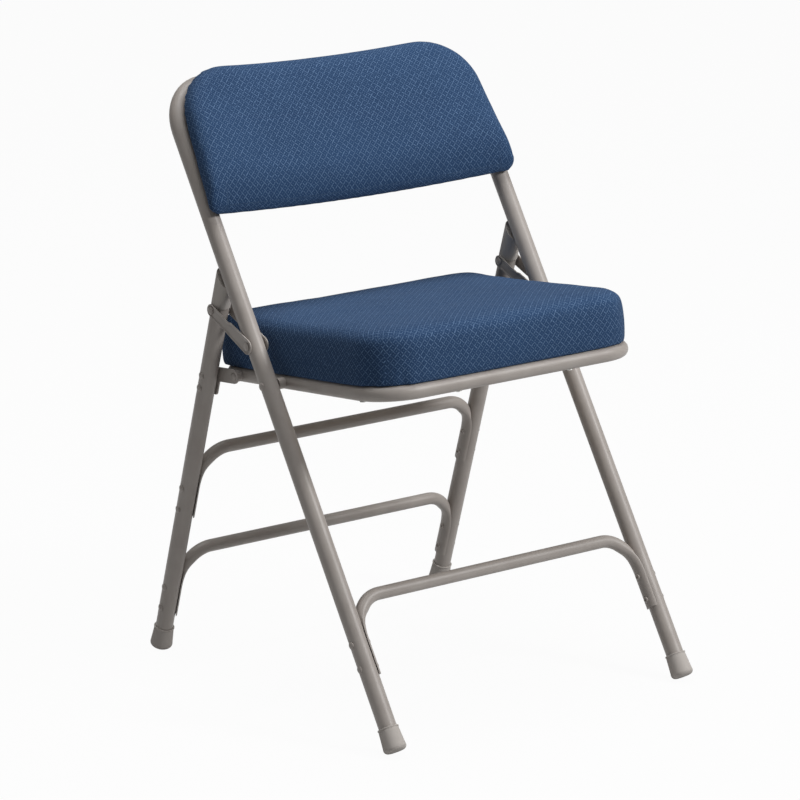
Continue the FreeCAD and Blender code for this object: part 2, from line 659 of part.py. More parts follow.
def make_link_rivets(label, side):
    """One rivet through the front leg, and at the rear end one short rivet in each plate."""
    def at(offset, y):
        return FreeCAD.Vector(side * (size.leg_half_width + offset), y, 0)

    front_face = link_front_offset + size.link_thickness
    through = rivet(f"{label}_link_front", at(front_face, 0), at(-front_face, 0), "pivot_diameter",
                    "pivot_head", "rivet_tail")
    keep(through, f"{label}_link_front_rivet", link_frame)
    short = []
    for facing in (1, -1):
        outer = at(facing * (link_rear_offset + size.link_thickness), link_length)
        inner = at(facing * link_rear_offset, link_length)
        axis = (inner - outer).normalize()
        name = f"{label}_link_rear_{len(short)}"
        shank = drill(f"{name}_shank", "Sizes.pivot_diameter / 2", outer, axis, size.link_thickness)
        short.append(fuse([shank, dome(f"{name}_head", "pivot_head_diameter", "pivot_head_height",
                                       outer, -axis)], name))
    keep(group(short, f"{label}_link_rear_group"), f"{label}_link_rear_rivets", link_frame)


# ---------------------------------------------------------------- seat

def seat_plan(half_width, front, rear):
    """Corners of a plan outline in the seat's plane; the front is at negative Y."""
    return [FreeCAD.Vector(-half_width, -front, 0), FreeCAD.Vector(half_width, -front, 0),
            FreeCAD.Vector(half_width, rear, 0), FreeCAD.Vector(-half_width, rear, 0)]


def seat_screw_places():
    places = [FreeCAD.Vector(side * size.seat_screw_spread, -size.ring_front, 0) for side in SIDES.values()]
    for y in (size.seat_screw_setback - size.ring_front, size.seat_screw_rear):
        places += [FreeCAD.Vector(side * ring_half_width, y, 0) for side in SIDES.values()]
    return places


panel_floor = size.ring_diameter / 2 + size.panel_lift


def make_seat_ring():
    front_middle = FreeCAD.Vector(0, -size.ring_front, 0)
    plan = seat_plan(ring_half_width, size.ring_front, size.ring_rear)
    radii = [size.ring_front_radius] * 2 + [size.ring_rear_radius] * 2
    # The weld that closes the ring is in the middle of its front tube.
    path = bent_path("seat_ring_path", [front_middle] + plan[1:] + plan[:1] + [front_middle],
                     radii[1:] + radii[:1])
    tube = swept_tube("seat_ring", path, "ring_diameter", "ring_wall")
    pivots = [(0, 0), (size.rear_pivot_setback, 0)]
    drills = cross_drills("seat_ring_pivot_hole", pivots, "pivot_diameter")
    for index, place in enumerate(seat_screw_places()):
        drills.append(drill(f"seat_ring_screw_hole_{index}", "Sizes.screw_diameter / 2 + Sizes.pivot_fit",
                            place - Z_AXIS * size.ring_diameter, Z_AXIS, 2 * size.ring_diameter))
    keep(drilled(tube, drills, "seat_ring_drilled"), "seat_ring", seat_frame)


def seat_block(name, inset, floor, height, edge_radius=0.0):
    """Block with the seat's plan outline, inset on every side, with a rounded top edge."""
    body = doc.addObject("PartDesign::Body", name)
    sketch = new_sketch(body, f"{name}_sketch", "XY_Plane", floor)
    plan = seat_plan(ring_half_width + size.seat_side_overhang - inset,
                     size.ring_front + size.seat_front_overhang - inset,
                     size.ring_rear + size.seat_rear_overhang - inset)
    radii = [size.seat_front_radius - inset] * 2 + [size.seat_rear_radius - inset] * 2
    rounded_outline(sketch, plan, radii)
    pad = padded(body, sketch, height, f"{name}_pad")
    if edge_radius:
        doc.recompute()
        top = pad.Shape.BoundBox.ZMax
        edges = [f"Edge{index}" for index, edge in enumerate(pad.Shape.Edges, start=1)
                 if edge.BoundBox.ZMin > top - TOUCH]
        fillet = body.newObject("PartDesign::Fillet", f"{name}_fillet")
        fillet.Base = (pad, edges)
        fillet.Radius = edge_radius
        body.Tip = fillet
    return body


def make_seat_pad():
    """Board on the ring, foam on the board, and the cover that wraps both and is open below."""
    skin = size.cover_thickness
    inset = skin + size.cover_gap
    board = seat_block("seat_board", inset, panel_floor, "Sizes.seat_panel_thickness")
    drills = [drill(f"seat_board_hole_{index}", "Sizes.screw_diameter / 2 + Sizes.pivot_fit",
                    place + Z_AXIS * panel_floor, Z_AXIS, size.screw_bite)
              for index, place in enumerate(seat_screw_places())]
    keep(drilled(board, drills, "seat_board_drilled"), "seat_panel", seat_frame)
    foam_floor = panel_floor + size.seat_panel_thickness + size.cover_gap
    foam_height = ("Sizes.seat_pad_height - Sizes.seat_panel_thickness - Sizes.cover_thickness"
                   " - 2 * Sizes.cover_gap")
    foam = seat_block("seat_foam_block", inset, foam_floor, foam_height, size.seat_edge_radius - inset)
    keep(foam, "seat_foam", seat_frame)
    height = "Sizes.seat_pad_height"
    outer = seat_block("seat_cover_outer", 0, panel_floor, height, size.seat_edge_radius)
    hollow = seat_block("seat_cover_inner", skin, panel_floor, f"{height} - Sizes.cover_thickness",
                        size.seat_edge_radius - skin)
    keep(cut(outer, hollow, "seat_cover_shell"), "seat_cover", seat_frame)


def make_seat_fasteners():
    """Screws up through the ring, and at each pivot a bush and a rivet."""
    screws = []
    for index, place in enumerate(seat_screw_places()):
        seat_at = place - Z_AXIS * (size.ring_diameter / 2)
        tip_at = place + Z_AXIS * (panel_floor + size.screw_bite)
        screws.append(screw(f"seat_screw_{index}", seat_at, tip_at))
    keep(group(screws, "seat_screws_group"), "seat_screws", seat_frame)
    leg_outer = size.leg_half_width + leg_radius
    leg_inner = size.leg_half_width - leg_radius
    ear_inner = bracket_outer - size.bracket_thickness
    pivots = [("front", 0, leg_outer, leg_inner),
              ("rear", size.rear_pivot_setback, bracket_outer, ear_inner)]
    for name, y, head_x, bush_outer in pivots:
        bushes, rivets = [], []
        for side in SIDES.values():
            rivets.append(rivet(f"{name}_pivot_rivet_{len(rivets)}", FreeCAD.Vector(side * head_x, y, 0),
                                FreeCAD.Vector(side * ring_inner, y, 0), "pivot_diameter",
                                "pivot_head", "rivet_tail"))
            bush_name = f"{name}_pivot_bush_{len(bushes)}"
            length = bush_outer - ring_outer - 2 * size.side_gap
            base = FreeCAD.Vector(side * (ring_outer + size.side_gap), y, 0)
            bush = drill(f"{bush_name}_body", "Sizes.spacer_diameter / 2", base, X_AXIS * side, length)
            bore = drill(f"{bush_name}_bore", "Sizes.pivot_diameter / 2 + Sizes.pivot_fit", base,
                         X_AXIS * side, length)
            bushes.append(cut(bush, bore, bush_name))
        keep(group(rivets, f"{name}_pivot_rivets_group"), f"{name}_pivot_rivets", seat_frame)
        keep(group(bushes, f"{name}_pivot_spacers_group"), f"{name}_pivot_spacers", seat_frame)


# ---------------------------------------------------------------- back

def back_slab(name, inset, outer_radius, inner_radius, centre_y):
    """Curved slab: the back's outline, inset, cut by two cylinders about one upright axis."""
    body = doc.addObject("PartDesign::Body", f"{name}_outline")
    depth = outer_radius - inner_radius
    sketch = new_sketch(body, f"{name}_sketch", "XZ_Plane")
    low, high = back_low + inset, back_high - inset
    low_half = size.leg_half_width + size.back_low_overhang - inset
    high_half = size.leg_half_width - size.back_high_inset - inset
    corners = [FreeCAD.Vector(x, z, 0) for x, z in ((-low_half, low), (low_half, low), (high_half, high),
                                                    (-high_half, high))]
    radii = [size.back_low_radius - inset] * 2 + [size.back_high_radius - inset] * 2
    rounded_outline(sketch, corners, radii)
    pad = padded(body, sketch, "4 * Sizes.back_pad_depth", f"{name}_pad")
    pad.SideType = "Symmetric"
    drums = []
    for skin, radius in (("outer", outer_radius), ("inner", inner_radius)):
        drum = doc.addObject("Part::Cylinder", f"{name}_{skin}_drum")
        drum.Radius = radius
        drum.Height = size.back_height + 2 * depth
        drum.Placement.Base = FreeCAD.Vector(0, centre_y, back_low - depth)
        drums.append(drum)
    curved = doc.addObject("Part::Common", f"{name}_curved")
    curved.Base = body
    curved.Tool = drums[0]
    return cut(curved, drums[1], f"{name}_slab")


def rounded_front(slab, name, inner_radius, centre_y, edge_radius):
    """Rounds every edge of a slab's front face."""
    doc.recompute()

    def on_front(edge):
        points = [edge.valueAt(edge.FirstParameter + (edge.LastParameter - edge.FirstParameter) * share)
                  for share in SAMPLE_SHARES]
        return all(abs(math.hypot(p.x, p.y - centre_y) - inner_radius) < TOUCH for p in points)

    edges = [index for index, edge in enumerate(slab.Shape.Edges, start=1) if on_front(edge)]
    fillet = doc.addObject("Part::Fillet", name)
    fillet.Base = slab
    fillet.Edges = [(index, edge_radius, edge_radius) for index in edges]
    return fillet


def make_back(bar_rear, bar_radius):
    """Curved board against the top bar, foam on it, and the cover round both, open at the rear."""
    centre_y = bar_rear - bar_radius
    rear = bar_radius - leg_radius - size.back_panel_gap
    front = rear - size.back_pad_depth
    skin = size.cover_thickness
    inset = skin + size.cover_gap
    board_front = rear - size.back_panel_thickness
    board = back_slab("back_board", inset, rear, board_front, centre_y)
    drills, screws = [], []
    for index, place in enumerate(back_screw_places(bar_rear, bar_radius)):
        board_y = centre_y + math.sqrt(rear ** 2 - place.x ** 2)
        tip = FreeCAD.Vector(place.x, board_y - size.screw_bite, place.z)
        drills.append(drill(f"back_board_hole_{index}", "Sizes.screw_diameter / 2 + Sizes.pivot_fit",
                            tip, Y_AXIS, size.tube_diameter))
        head_seat = place + Y_AXIS * (leg_radius + size.screw_head_gap)
        screws.append(screw(f"back_screw_{index}", head_seat, tip))
    keep(drilled(board, drills, "back_board_drilled"), "back_panel", front_frame)
    keep(group(screws, "back_screws_group"), "back_screws", front_frame)
    foam_front = front + inset
    foam = back_slab("back_foam_block", inset, board_front - size.cover_gap, foam_front, centre_y)
    foam = rounded_front(foam, "back_foam_rounded", foam_front, centre_y, size.back_edge_radius - inset)
    keep(foam, "back_foam", front_frame)
    outer = rounded_front(back_slab("back_cover_outer", 0, rear, front, centre_y), "back_cover_rounded",
                          front, centre_y, size.back_edge_radius)
    hollow = rounded_front(back_slab("back_cover_inner", skin, rear + skin, front + skin, centre_y),
                           "back_cover_inner_rounded", front + skin, centre_y,
                           size.back_edge_radius - skin)
    keep(cut(outer, hollow, "back_cover_shell"), "back_cover", front_frame)


# ---------------------------------------------------------------- assembly

bar_rear_y, bar_arc_radius = make_front_frame_tube()
make_brace("front_brace", front_brace_end, size.front_brace_reach, front_frame)
make_brace_rivets("front_brace_rivets", [front_brace_end], front_frame)
make_back(bar_rear_y, bar_arc_radius)

make_rear_legs()
make_brace("lower_rear_brace", lower_brace_end, size.lower_brace_reach, rear_frame)
make_brace("upper_rear_brace", upper_brace_end, size.upper_brace_reach, rear_frame)
make_brace_rivets("rear_brace_rivets", [lower_brace_end, upper_brace_end], rear_frame)
make_bracket_rivets()

make_seat_ring()
make_seat_pad()
make_seat_fasteners()

for side_name, side_sign in SIDES.items():
    make_foot(f"{side_name}_front_foot", side_sign, front_foot_start, front_frame)
    make_foot(f"{side_name}_rear_foot", side_sign, rear_foot_start, rear_frame)
    make_leg_cap(f"{side_name}_leg_cap", side_sign)
    make_bracket(f"{side_name}_bracket", side_sign)
    make_link(f"{side_name}_outer_link", side_sign, 1)
    make_link(f"{side_name}_inner_link", side_sign, -1)
    make_link_rivets(side_name, side_sign)

doc.recompute()
for item in doc.Objects:
    if "Invalid" in item.State or "Error" in item.State:
        raise RuntimeError(f"{item.Label} did not compute: {item.State}")
for piece in subparts:
    if piece.Shape.isNull() or not piece.Shape.isValid() or not piece.Shape.Solids:
        raise RuntimeError(f"{piece.Label} has no valid solid")

os.makedirs("parts", exist_ok=True)
for piece in subparts:
    piece.Shape.exportStep(f"parts/{piece.Label}.step")

for name, point in (("seat pivot", seat_pivot), ("rear pivot", rear_pivot),
                    ("link front pivot", link_front_pivot), ("link rear pivot", link_rear_pivot)):
    print(f"{name}: y {point.y:.3f} z {point.z:.3f}")
print(f"link length {link_length:.2f}, bar radius {bar_arc_radius:.1f}, bar rear {bar_rear_y:.2f}")
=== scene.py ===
"""Looks of a padded steel folding chair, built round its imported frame.

Everything is in metres, +Z up, -Y towards the chair's front and +X to its right as seen from the front.
"""
import json
import logging
import math
from dataclasses import dataclass, field
from enum import Enum
from typing import Any, Iterable, Optional, Sequence, Union

import bmesh
import bpy
import numpy as np
from mathutils import Matrix, Vector, noise


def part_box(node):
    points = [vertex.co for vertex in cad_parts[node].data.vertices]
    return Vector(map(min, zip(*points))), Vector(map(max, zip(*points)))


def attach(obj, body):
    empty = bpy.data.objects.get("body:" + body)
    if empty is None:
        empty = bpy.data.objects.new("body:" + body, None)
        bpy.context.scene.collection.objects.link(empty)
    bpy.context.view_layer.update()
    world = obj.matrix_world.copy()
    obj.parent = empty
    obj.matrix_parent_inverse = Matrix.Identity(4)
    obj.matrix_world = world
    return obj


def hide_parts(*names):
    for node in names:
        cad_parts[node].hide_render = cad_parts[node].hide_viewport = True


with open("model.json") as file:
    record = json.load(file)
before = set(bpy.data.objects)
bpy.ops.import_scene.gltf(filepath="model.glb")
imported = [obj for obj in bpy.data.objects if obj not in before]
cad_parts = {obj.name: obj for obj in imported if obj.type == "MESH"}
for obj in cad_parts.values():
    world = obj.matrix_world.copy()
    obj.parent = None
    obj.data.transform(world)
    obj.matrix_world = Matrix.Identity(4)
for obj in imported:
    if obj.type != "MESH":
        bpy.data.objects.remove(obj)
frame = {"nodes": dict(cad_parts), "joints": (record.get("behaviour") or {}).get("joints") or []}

LOG = logging.getLogger("chair")
MM = 0.001
LEFT, RIGHT = -1.0, 1.0
SIDES = {"left": LEFT, "right": RIGHT}
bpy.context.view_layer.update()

Colour = tuple[float, float, float]


# ---------------------------------------------------------------- shader maths

class Value:
    """A number that varies over a surface; arithmetic on it adds Math nodes."""

    def __init__(self, nodes: "Nodes", socket: bpy.types.NodeSocket) -> None:
        """Wraps one output socket of a tree."""
        self.nodes = nodes
        self.socket = socket

    def math(self, operation: str, *others: "Number") -> "Value":
        """Result of one Math node.

        Args:
            operation: the Math node's operation.
            others: its second and third values, numbers or sockets.

        Returns:
            The node's output.
        """
        inputs = dict(enumerate((self, *others)))
        return self.nodes.value("ShaderNodeMath", {"operation": operation}, inputs)

    def __add__(self, other: "Number") -> "Value":
        """Sum."""
        return self.math("ADD", other)

    def __radd__(self, other: float) -> "Value":
        """Sum with a plain number first."""
        return self.math("ADD", other)

    def __sub__(self, other: "Number") -> "Value":
        """Difference."""
        return self.math("SUBTRACT", other)

    def __rsub__(self, other: float) -> "Value":
        """A plain number less this value."""
        return -self + other

    def __mul__(self, other: "Number") -> "Value":
        """Product."""
        return self.math("MULTIPLY", other)

    def __rmul__(self, other: float) -> "Value":
        """Product with a plain number first."""
        return self.math("MULTIPLY", other)

    def __truediv__(self, other: "Number") -> "Value":
        """Quotient."""
        return self.math("DIVIDE", other)

    def __neg__(self) -> "Value":
        """The value with its sign turned."""
        return self.math("MULTIPLY", -1.0)

    def __abs__(self) -> "Value":
        """Its size without its sign."""
        return self.math("ABSOLUTE")

    def floor(self) -> "Value":
        """The whole number below."""
        return self.math("FLOOR")

    def wrap(self, period: float) -> "Value":
        """What is left after whole periods, from 0 to the period."""
        return (self / period).math("FRACT") * period

    def sine(self) -> "Value":
        """Sine of an angle in radians."""
        return self.math("SINE")

    def least(self, other: "Number") -> "Value":
        """The smaller of two."""
        return self.math("MINIMUM", other)

    def most(self, other: "Number") -> "Value":
        """The larger of two."""
        return self.math("MAXIMUM", other)

    def ramp(self, low: float, high: float) -> "Value":
        """Smooth step of the value.

        Args:
            low: value at which the step starts from 0.
            high: value at which it reaches 1; below low, the step falls instead.

        Returns:
            A value from 0 to 1.
        """
        rising = high > low
        inputs = {"Value": self, "From Min": min(low, high), "From Max": max(low, high),
                  "To Min": 0.0 if rising else 1.0, "To Max": 1.0 if rising else 0.0}
        settings = {"interpolation_type": "SMOOTHSTEP"}
        return self.nodes.value("ShaderNodeMapRange", settings, inputs)


Number = Union[float, Value]


class Nodes:
    """The node tree of one material."""

    def __init__(self, name: str) -> None:
        """Makes the material and empties its tree.

        Args:
            name: name of the new tree.
        """
        self.material = bpy.data.materials.new(name)
        self.material.use_nodes = True
        self.tree = self.material.node_tree
        self.tree.nodes.clear()

    def node(self, kind: str, settings: Optional[dict[str, Any]] = None,
             inputs: Optional[dict[Union[str, int], Any]] = None) -> bpy.types.Node:
        """One node, set up and linked.

        Args:
            kind: the node's type.
            settings: its own settings, set before its sockets.
            inputs: plain values or links by socket name or number.

        Returns:
            The node.
        """
        made = self.tree.nodes.new(kind)
        for key, value in (settings or {}).items():
            setattr(made, key, value)
        for key, value in (inputs or {}).items():
            if isinstance(value, Value):
                value = value.socket
            if isinstance(value, bpy.types.NodeSocket):
                self.tree.links.new(value, made.inputs[key])
            else:
                made.inputs[key].default_value = value
        return made

    def value(self, kind: str, settings: Optional[dict[str, Any]] = None,
              inputs: Optional[dict[Union[str, int], Any]] = None, output: Union[str, int] = 0) -> Value:
        """A node's output as a value.

        Args:
            kind: the node's type.
            settings: its own settings.
            inputs: its sockets' values or links.
            output: name or number of the output.

        Returns:
            The wrapped output.
        """
        return Value(self, self.node(kind, settings, inputs).outputs[output])

    def place(self, scale: Sequence[float] = (1.0, 1.0, 1.0)) -> bpy.types.NodeSocket:
        """Object coordinates in metres, stretched.

        Args:
            scale: factor along each axis.

        Returns:
            A vector socket.
        """
        coordinate = self.node("ShaderNodeTexCoord").outputs["Object"]
        return self.node("ShaderNodeMapping", {}, {"Vector": coordinate, "Scale": scale}).outputs[0]

    def grain(self, scale: float, detail: float = 2.0, roughness: float = 0.5,
              vector: Optional[bpy.types.NodeSocket] = None) -> Value:
        """Noise around 0.5 on Object coordinates.

        Args:
            scale: cells per metre.
            detail: octaves.
            roughness: share of each next octave.
            vector: coordinates to use instead.

        Returns:
            The noise.
        """
        inputs = {"Vector": vector or self.place(), "Scale": scale, "Detail": detail,
                  "Roughness": roughness}
        return self.value("ShaderNodeTexNoise", {}, inputs, "Fac")

    def blend(self, share: Number, first: Any, second: Any) -> bpy.types.NodeSocket:
        """Colour between two colours.

        Args:
            share: how much of the second shows.
            first: colour or socket.
            second: colour or socket.

        Returns:
            A colour socket.
        """
        made = self.node("ShaderNodeMix", {"data_type": "RGBA"}, {"Factor": share})
        for socket, colour in ((made.inputs[6], first), (made.inputs[7], second)):
            if isinstance(colour, bpy.types.NodeSocket):
                self.tree.links.new(colour, socket)
            else:
                socket.default_value = (*colour, 1.0)
        return made.outputs[2]

    def bump(self, height: Value, distance: float, strength: float = 1.0) -> bpy.types.NodeSocket:
        """Normal bent by a height.

        Args:
            height: from 0 to 1.
            distance: what a height of 1 stands for, in metres.
            strength: share of the effect.

        Returns:
            A normal socket.
        """
        inputs = {"Height": height, "Distance": distance, "Strength": strength}
        return self.node("ShaderNodeBump", {}, inputs).outputs[0]

    def surface(self, inputs: dict[str, Any]) -> bpy.types.Material:
        """Closes the tree with a Principled shader.

        Args:
            inputs: the shader's sockets.

        Returns:
            The material.
        """
        shader = self.node("ShaderNodeBsdfPrincipled", {}, inputs)
        self.node("ShaderNodeOutputMaterial", {}, {"Surface": shader.outputs[0]})
        return self.material


# ---------------------------------------------------------------- finishes

@dataclass(frozen=True)
class PowderCoat:
    """Satin powder coat with its fine orange peel and a faint mottling."""

    name: str = "frame_powder_coat"
    colour: Colour = (0.360, 0.328, 0.303)
    shade: Colour = (0.300, 0.265, 0.242)
    roughness: float = 0.46
    peel_scale: float = 620.0
    peel_depth: float = 0.10 * MM

    def make(self) -> bpy.types.Material:
        """Builds the material's nodes.

        Returns:
            The material.
        """
        nodes = Nodes(self.name)
        mottle = nodes.grain(28.0, 4.0, 0.6).ramp(0.30, 0.72)
        specks = nodes.grain(900.0, 1.0).ramp(0.60, 0.75)
        colour = nodes.blend(mottle * 0.55 + specks * 0.25, self.colour, self.shade)
        roughness = self.roughness + (nodes.grain(60.0, 3.0) - 0.5) * 0.16
        peel = nodes.grain(self.peel_scale, 2.0)
        return nodes.surface({"Base Color": colour, "Roughness": roughness,
                              "Normal": nodes.bump(peel, self.peel_depth, 0.5),
                              "Specular IOR Level": 0.45})


@dataclass(frozen=True)
class WovenCloth:
    """Upholstery cloth: a navy ground with a lighter interlocked lattice set at 45 degrees."""

    name: str = "navy_upholstery"
    ground: Colour = (0.022, 0.058, 0.134)
    deep: Colour = (0.011, 0.032, 0.083)
    thread: Colour = (0.100, 0.170, 0.292)
    period: float = 6.3 * MM
    thread_half: float = 0.085
    gap_half: float = 0.23
    dot_half: float = 0.15
    yarn: float = 0.85 * MM
    relief: float = 0.30 * MM
    wander: float = 1.0 * MM

    def lattice(self, across: Value, up: Value) -> Value:
        """Mask of the light threads: two crossing sets of lines, which pass over and under in turn.

        Args:
            across: place along the cloth, metres.
            up: place up the cloth, metres.

        Returns:
            1 on a light thread and 0 on the ground.
        """
        diagonal = self.period * math.sqrt(2.0)
        rising, falling = (across + up) / diagonal, (across - up) / diagonal
        to_rising, to_falling = rising - (rising + 0.5).floor(), falling - (falling + 0.5).floor()
        over = ((rising + 0.5).floor() + (falling + 0.5).floor()).wrap(2.0).ramp(0.4, 0.6)
        near_rising, near_falling = abs(to_rising), abs(to_falling)
        thin, thick = self.thread_half * 0.5, self.thread_half * 1.6
        broken, clear = self.gap_half * 0.8, self.gap_half * 1.2
        first = near_falling.ramp(thick, thin) * (over + near_rising.ramp(broken, clear)).least(1.0)
        second = near_rising.ramp(thick, thin) * (1.0 - over + near_falling.ramp(broken, clear)).least(1.0)
        to_middle = abs(near_rising - 0.5).most(abs(near_falling - 0.5))
        dots = to_middle.ramp(self.dot_half, self.dot_half * 0.4) * 0.75
        return first.most(second).most(dots)

    def make(self) -> bpy.types.Material:
        """Builds the material's nodes.

        Returns:
            The material.
        """
        nodes = Nodes(self.name)
        flat = nodes.node("ShaderNodeUVMap", {"uv_map": "cloth"}).outputs[0]
        split = nodes.node("ShaderNodeSeparateXYZ", {}, {0: flat})
        across, up = Value(nodes, split.outputs[0]), Value(nodes, split.outputs[1])
        wander = (nodes.grain(160.0, 2.0) - 0.5) * self.wander
        light = self.lattice(across + wander, up + wander)
        turn = 2 * math.pi / self.yarn
        weave = (across * turn).sine() * (up * turn).sine() * 0.5 + 0.5
        fleck = nodes.grain(1100.0, 2.0, 0.7)
        cloud = nodes.grain(9.0, 3.0, 0.55).ramp(0.3, 0.7)
        ground = nodes.blend(weave * 0.45 + cloud * 0.25 + fleck * 0.3, self.deep, self.ground)
        bright = nodes.grain(430.0, 2.0, 0.6).ramp(0.34, 0.66)
        share = light * (0.15 + bright * 0.85)
        colour = nodes.blend(share, ground, self.thread)
        height = light * 0.5 + weave * 0.35 + fleck * 0.15
        return nodes.surface({"Base Color": colour, "Roughness": 0.86 - light * 0.1,
                              "Normal": nodes.bump(height, self.relief, 0.8),
                              "Specular IOR Level": 0.15, "Sheen Weight": 0.06,
                              "Sheen Roughness": 0.45, "Sheen Tint": (0.55, 0.68, 0.9, 1.0)})


@dataclass(frozen=True)
class Moulded:
    """Moulded rubber or plastic with a faint grain and uneven gloss."""

    name: str
    colour: Colour
    shade: Colour
    roughness: float
    grain_depth: float = 0.05 * MM

    def make(self) -> bpy.types.Material:
        """Builds the material's nodes.

        Returns:
            The material.
        """
        nodes = Nodes(self.name)
        mottle = nodes.grain(90.0, 4.0, 0.6).ramp(0.35, 0.70)
        scuff = nodes.grain(35.0, 5.0, 0.75, nodes.place((1.0, 1.0, 3.0))).ramp(0.60, 0.74)
        colour = nodes.blend(mottle * 0.6 + scuff * 0.4, self.colour, self.shade)
        roughness = self.roughness + mottle * 0.08 + scuff * 0.15
        return nodes.surface({"Base Color": colour, "Roughness": roughness,
                              "Normal": nodes.bump(nodes.grain(1500.0), self.grain_depth, 0.35)})


@dataclass(frozen=True)
class ZincPlate:
    """Zinc-plated steel of the screws."""

    name: str = "zinc_plate"
    colour: Colour = (0.62, 0.62, 0.60)
    shade: Colour = (0.48, 0.47, 0.44)
    bloom_depth: float = 0.03 * MM

    def make(self) -> bpy.types.Material:
        """Builds the material's nodes.

        Returns:
            The material.
        """
        nodes = Nodes(self.name)
        bloom = nodes.grain(400.0, 3.0, 0.6).ramp(0.35, 0.7)
        return nodes.surface({"Base Color": nodes.blend(bloom, self.colour, self.shade), "Metallic": 1.0,
                              "Roughness": 0.30 + bloom * 0.2,
                              "Normal": nodes.bump(bloom, self.bloom_depth, 0.4)})


@dataclass(frozen=True)
class Plywood:
    """Bare birch ply under the seat."""

    name: str = "birch_ply"
    colour: Colour = (0.42, 0.29, 0.16)
    grain_colour: Colour = (0.27, 0.165, 0.08)
    pore_depth: float = 0.12 * MM

    def make(self) -> bpy.types.Material:
        """Builds the material's nodes.

        Returns:
            The material.
        """
        nodes = Nodes(self.name)
        stretched = nodes.place((1.0, 14.0, 14.0))
        grain = nodes.grain(9.0, 6.0, 0.65, stretched).ramp(0.35, 0.68)
        pores = nodes.grain(60.0, 2.0, 0.5, stretched).ramp(0.55, 0.75)
        colour = nodes.blend(grain * 0.7 + pores * 0.3, self.colour, self.grain_colour)
        return nodes.surface({"Base Color": colour, "Roughness": 0.62 + pores * 0.2,
                              "Normal": nodes.bump(pores + grain * 0.4, self.pore_depth, 0.5)})


class Finish(Enum):
    """The chair's finishes."""

    PAINT = PowderCoat()
    CLOTH = WovenCloth()
    RUBBER = Moulded("foot_rubber", (0.150, 0.126, 0.114), (0.114, 0.095, 0.086), 0.28)
    PLASTIC = Moulded("cap_plastic", (0.250, 0.222, 0.205), (0.200, 0.175, 0.160), 0.40)
    THREAD = Moulded("sewing_thread", (0.030, 0.050, 0.100), (0.020, 0.035, 0.075), 0.65)
    ZINC = ZincPlate()
    PLY = Plywood()

    def material(self) -> bpy.types.Material:
        """The finish's material, made on first use."""
        return bpy.data.materials.get(self.value.name) or self.value.make()


# ---------------------------------------------------------------- geometry nodes

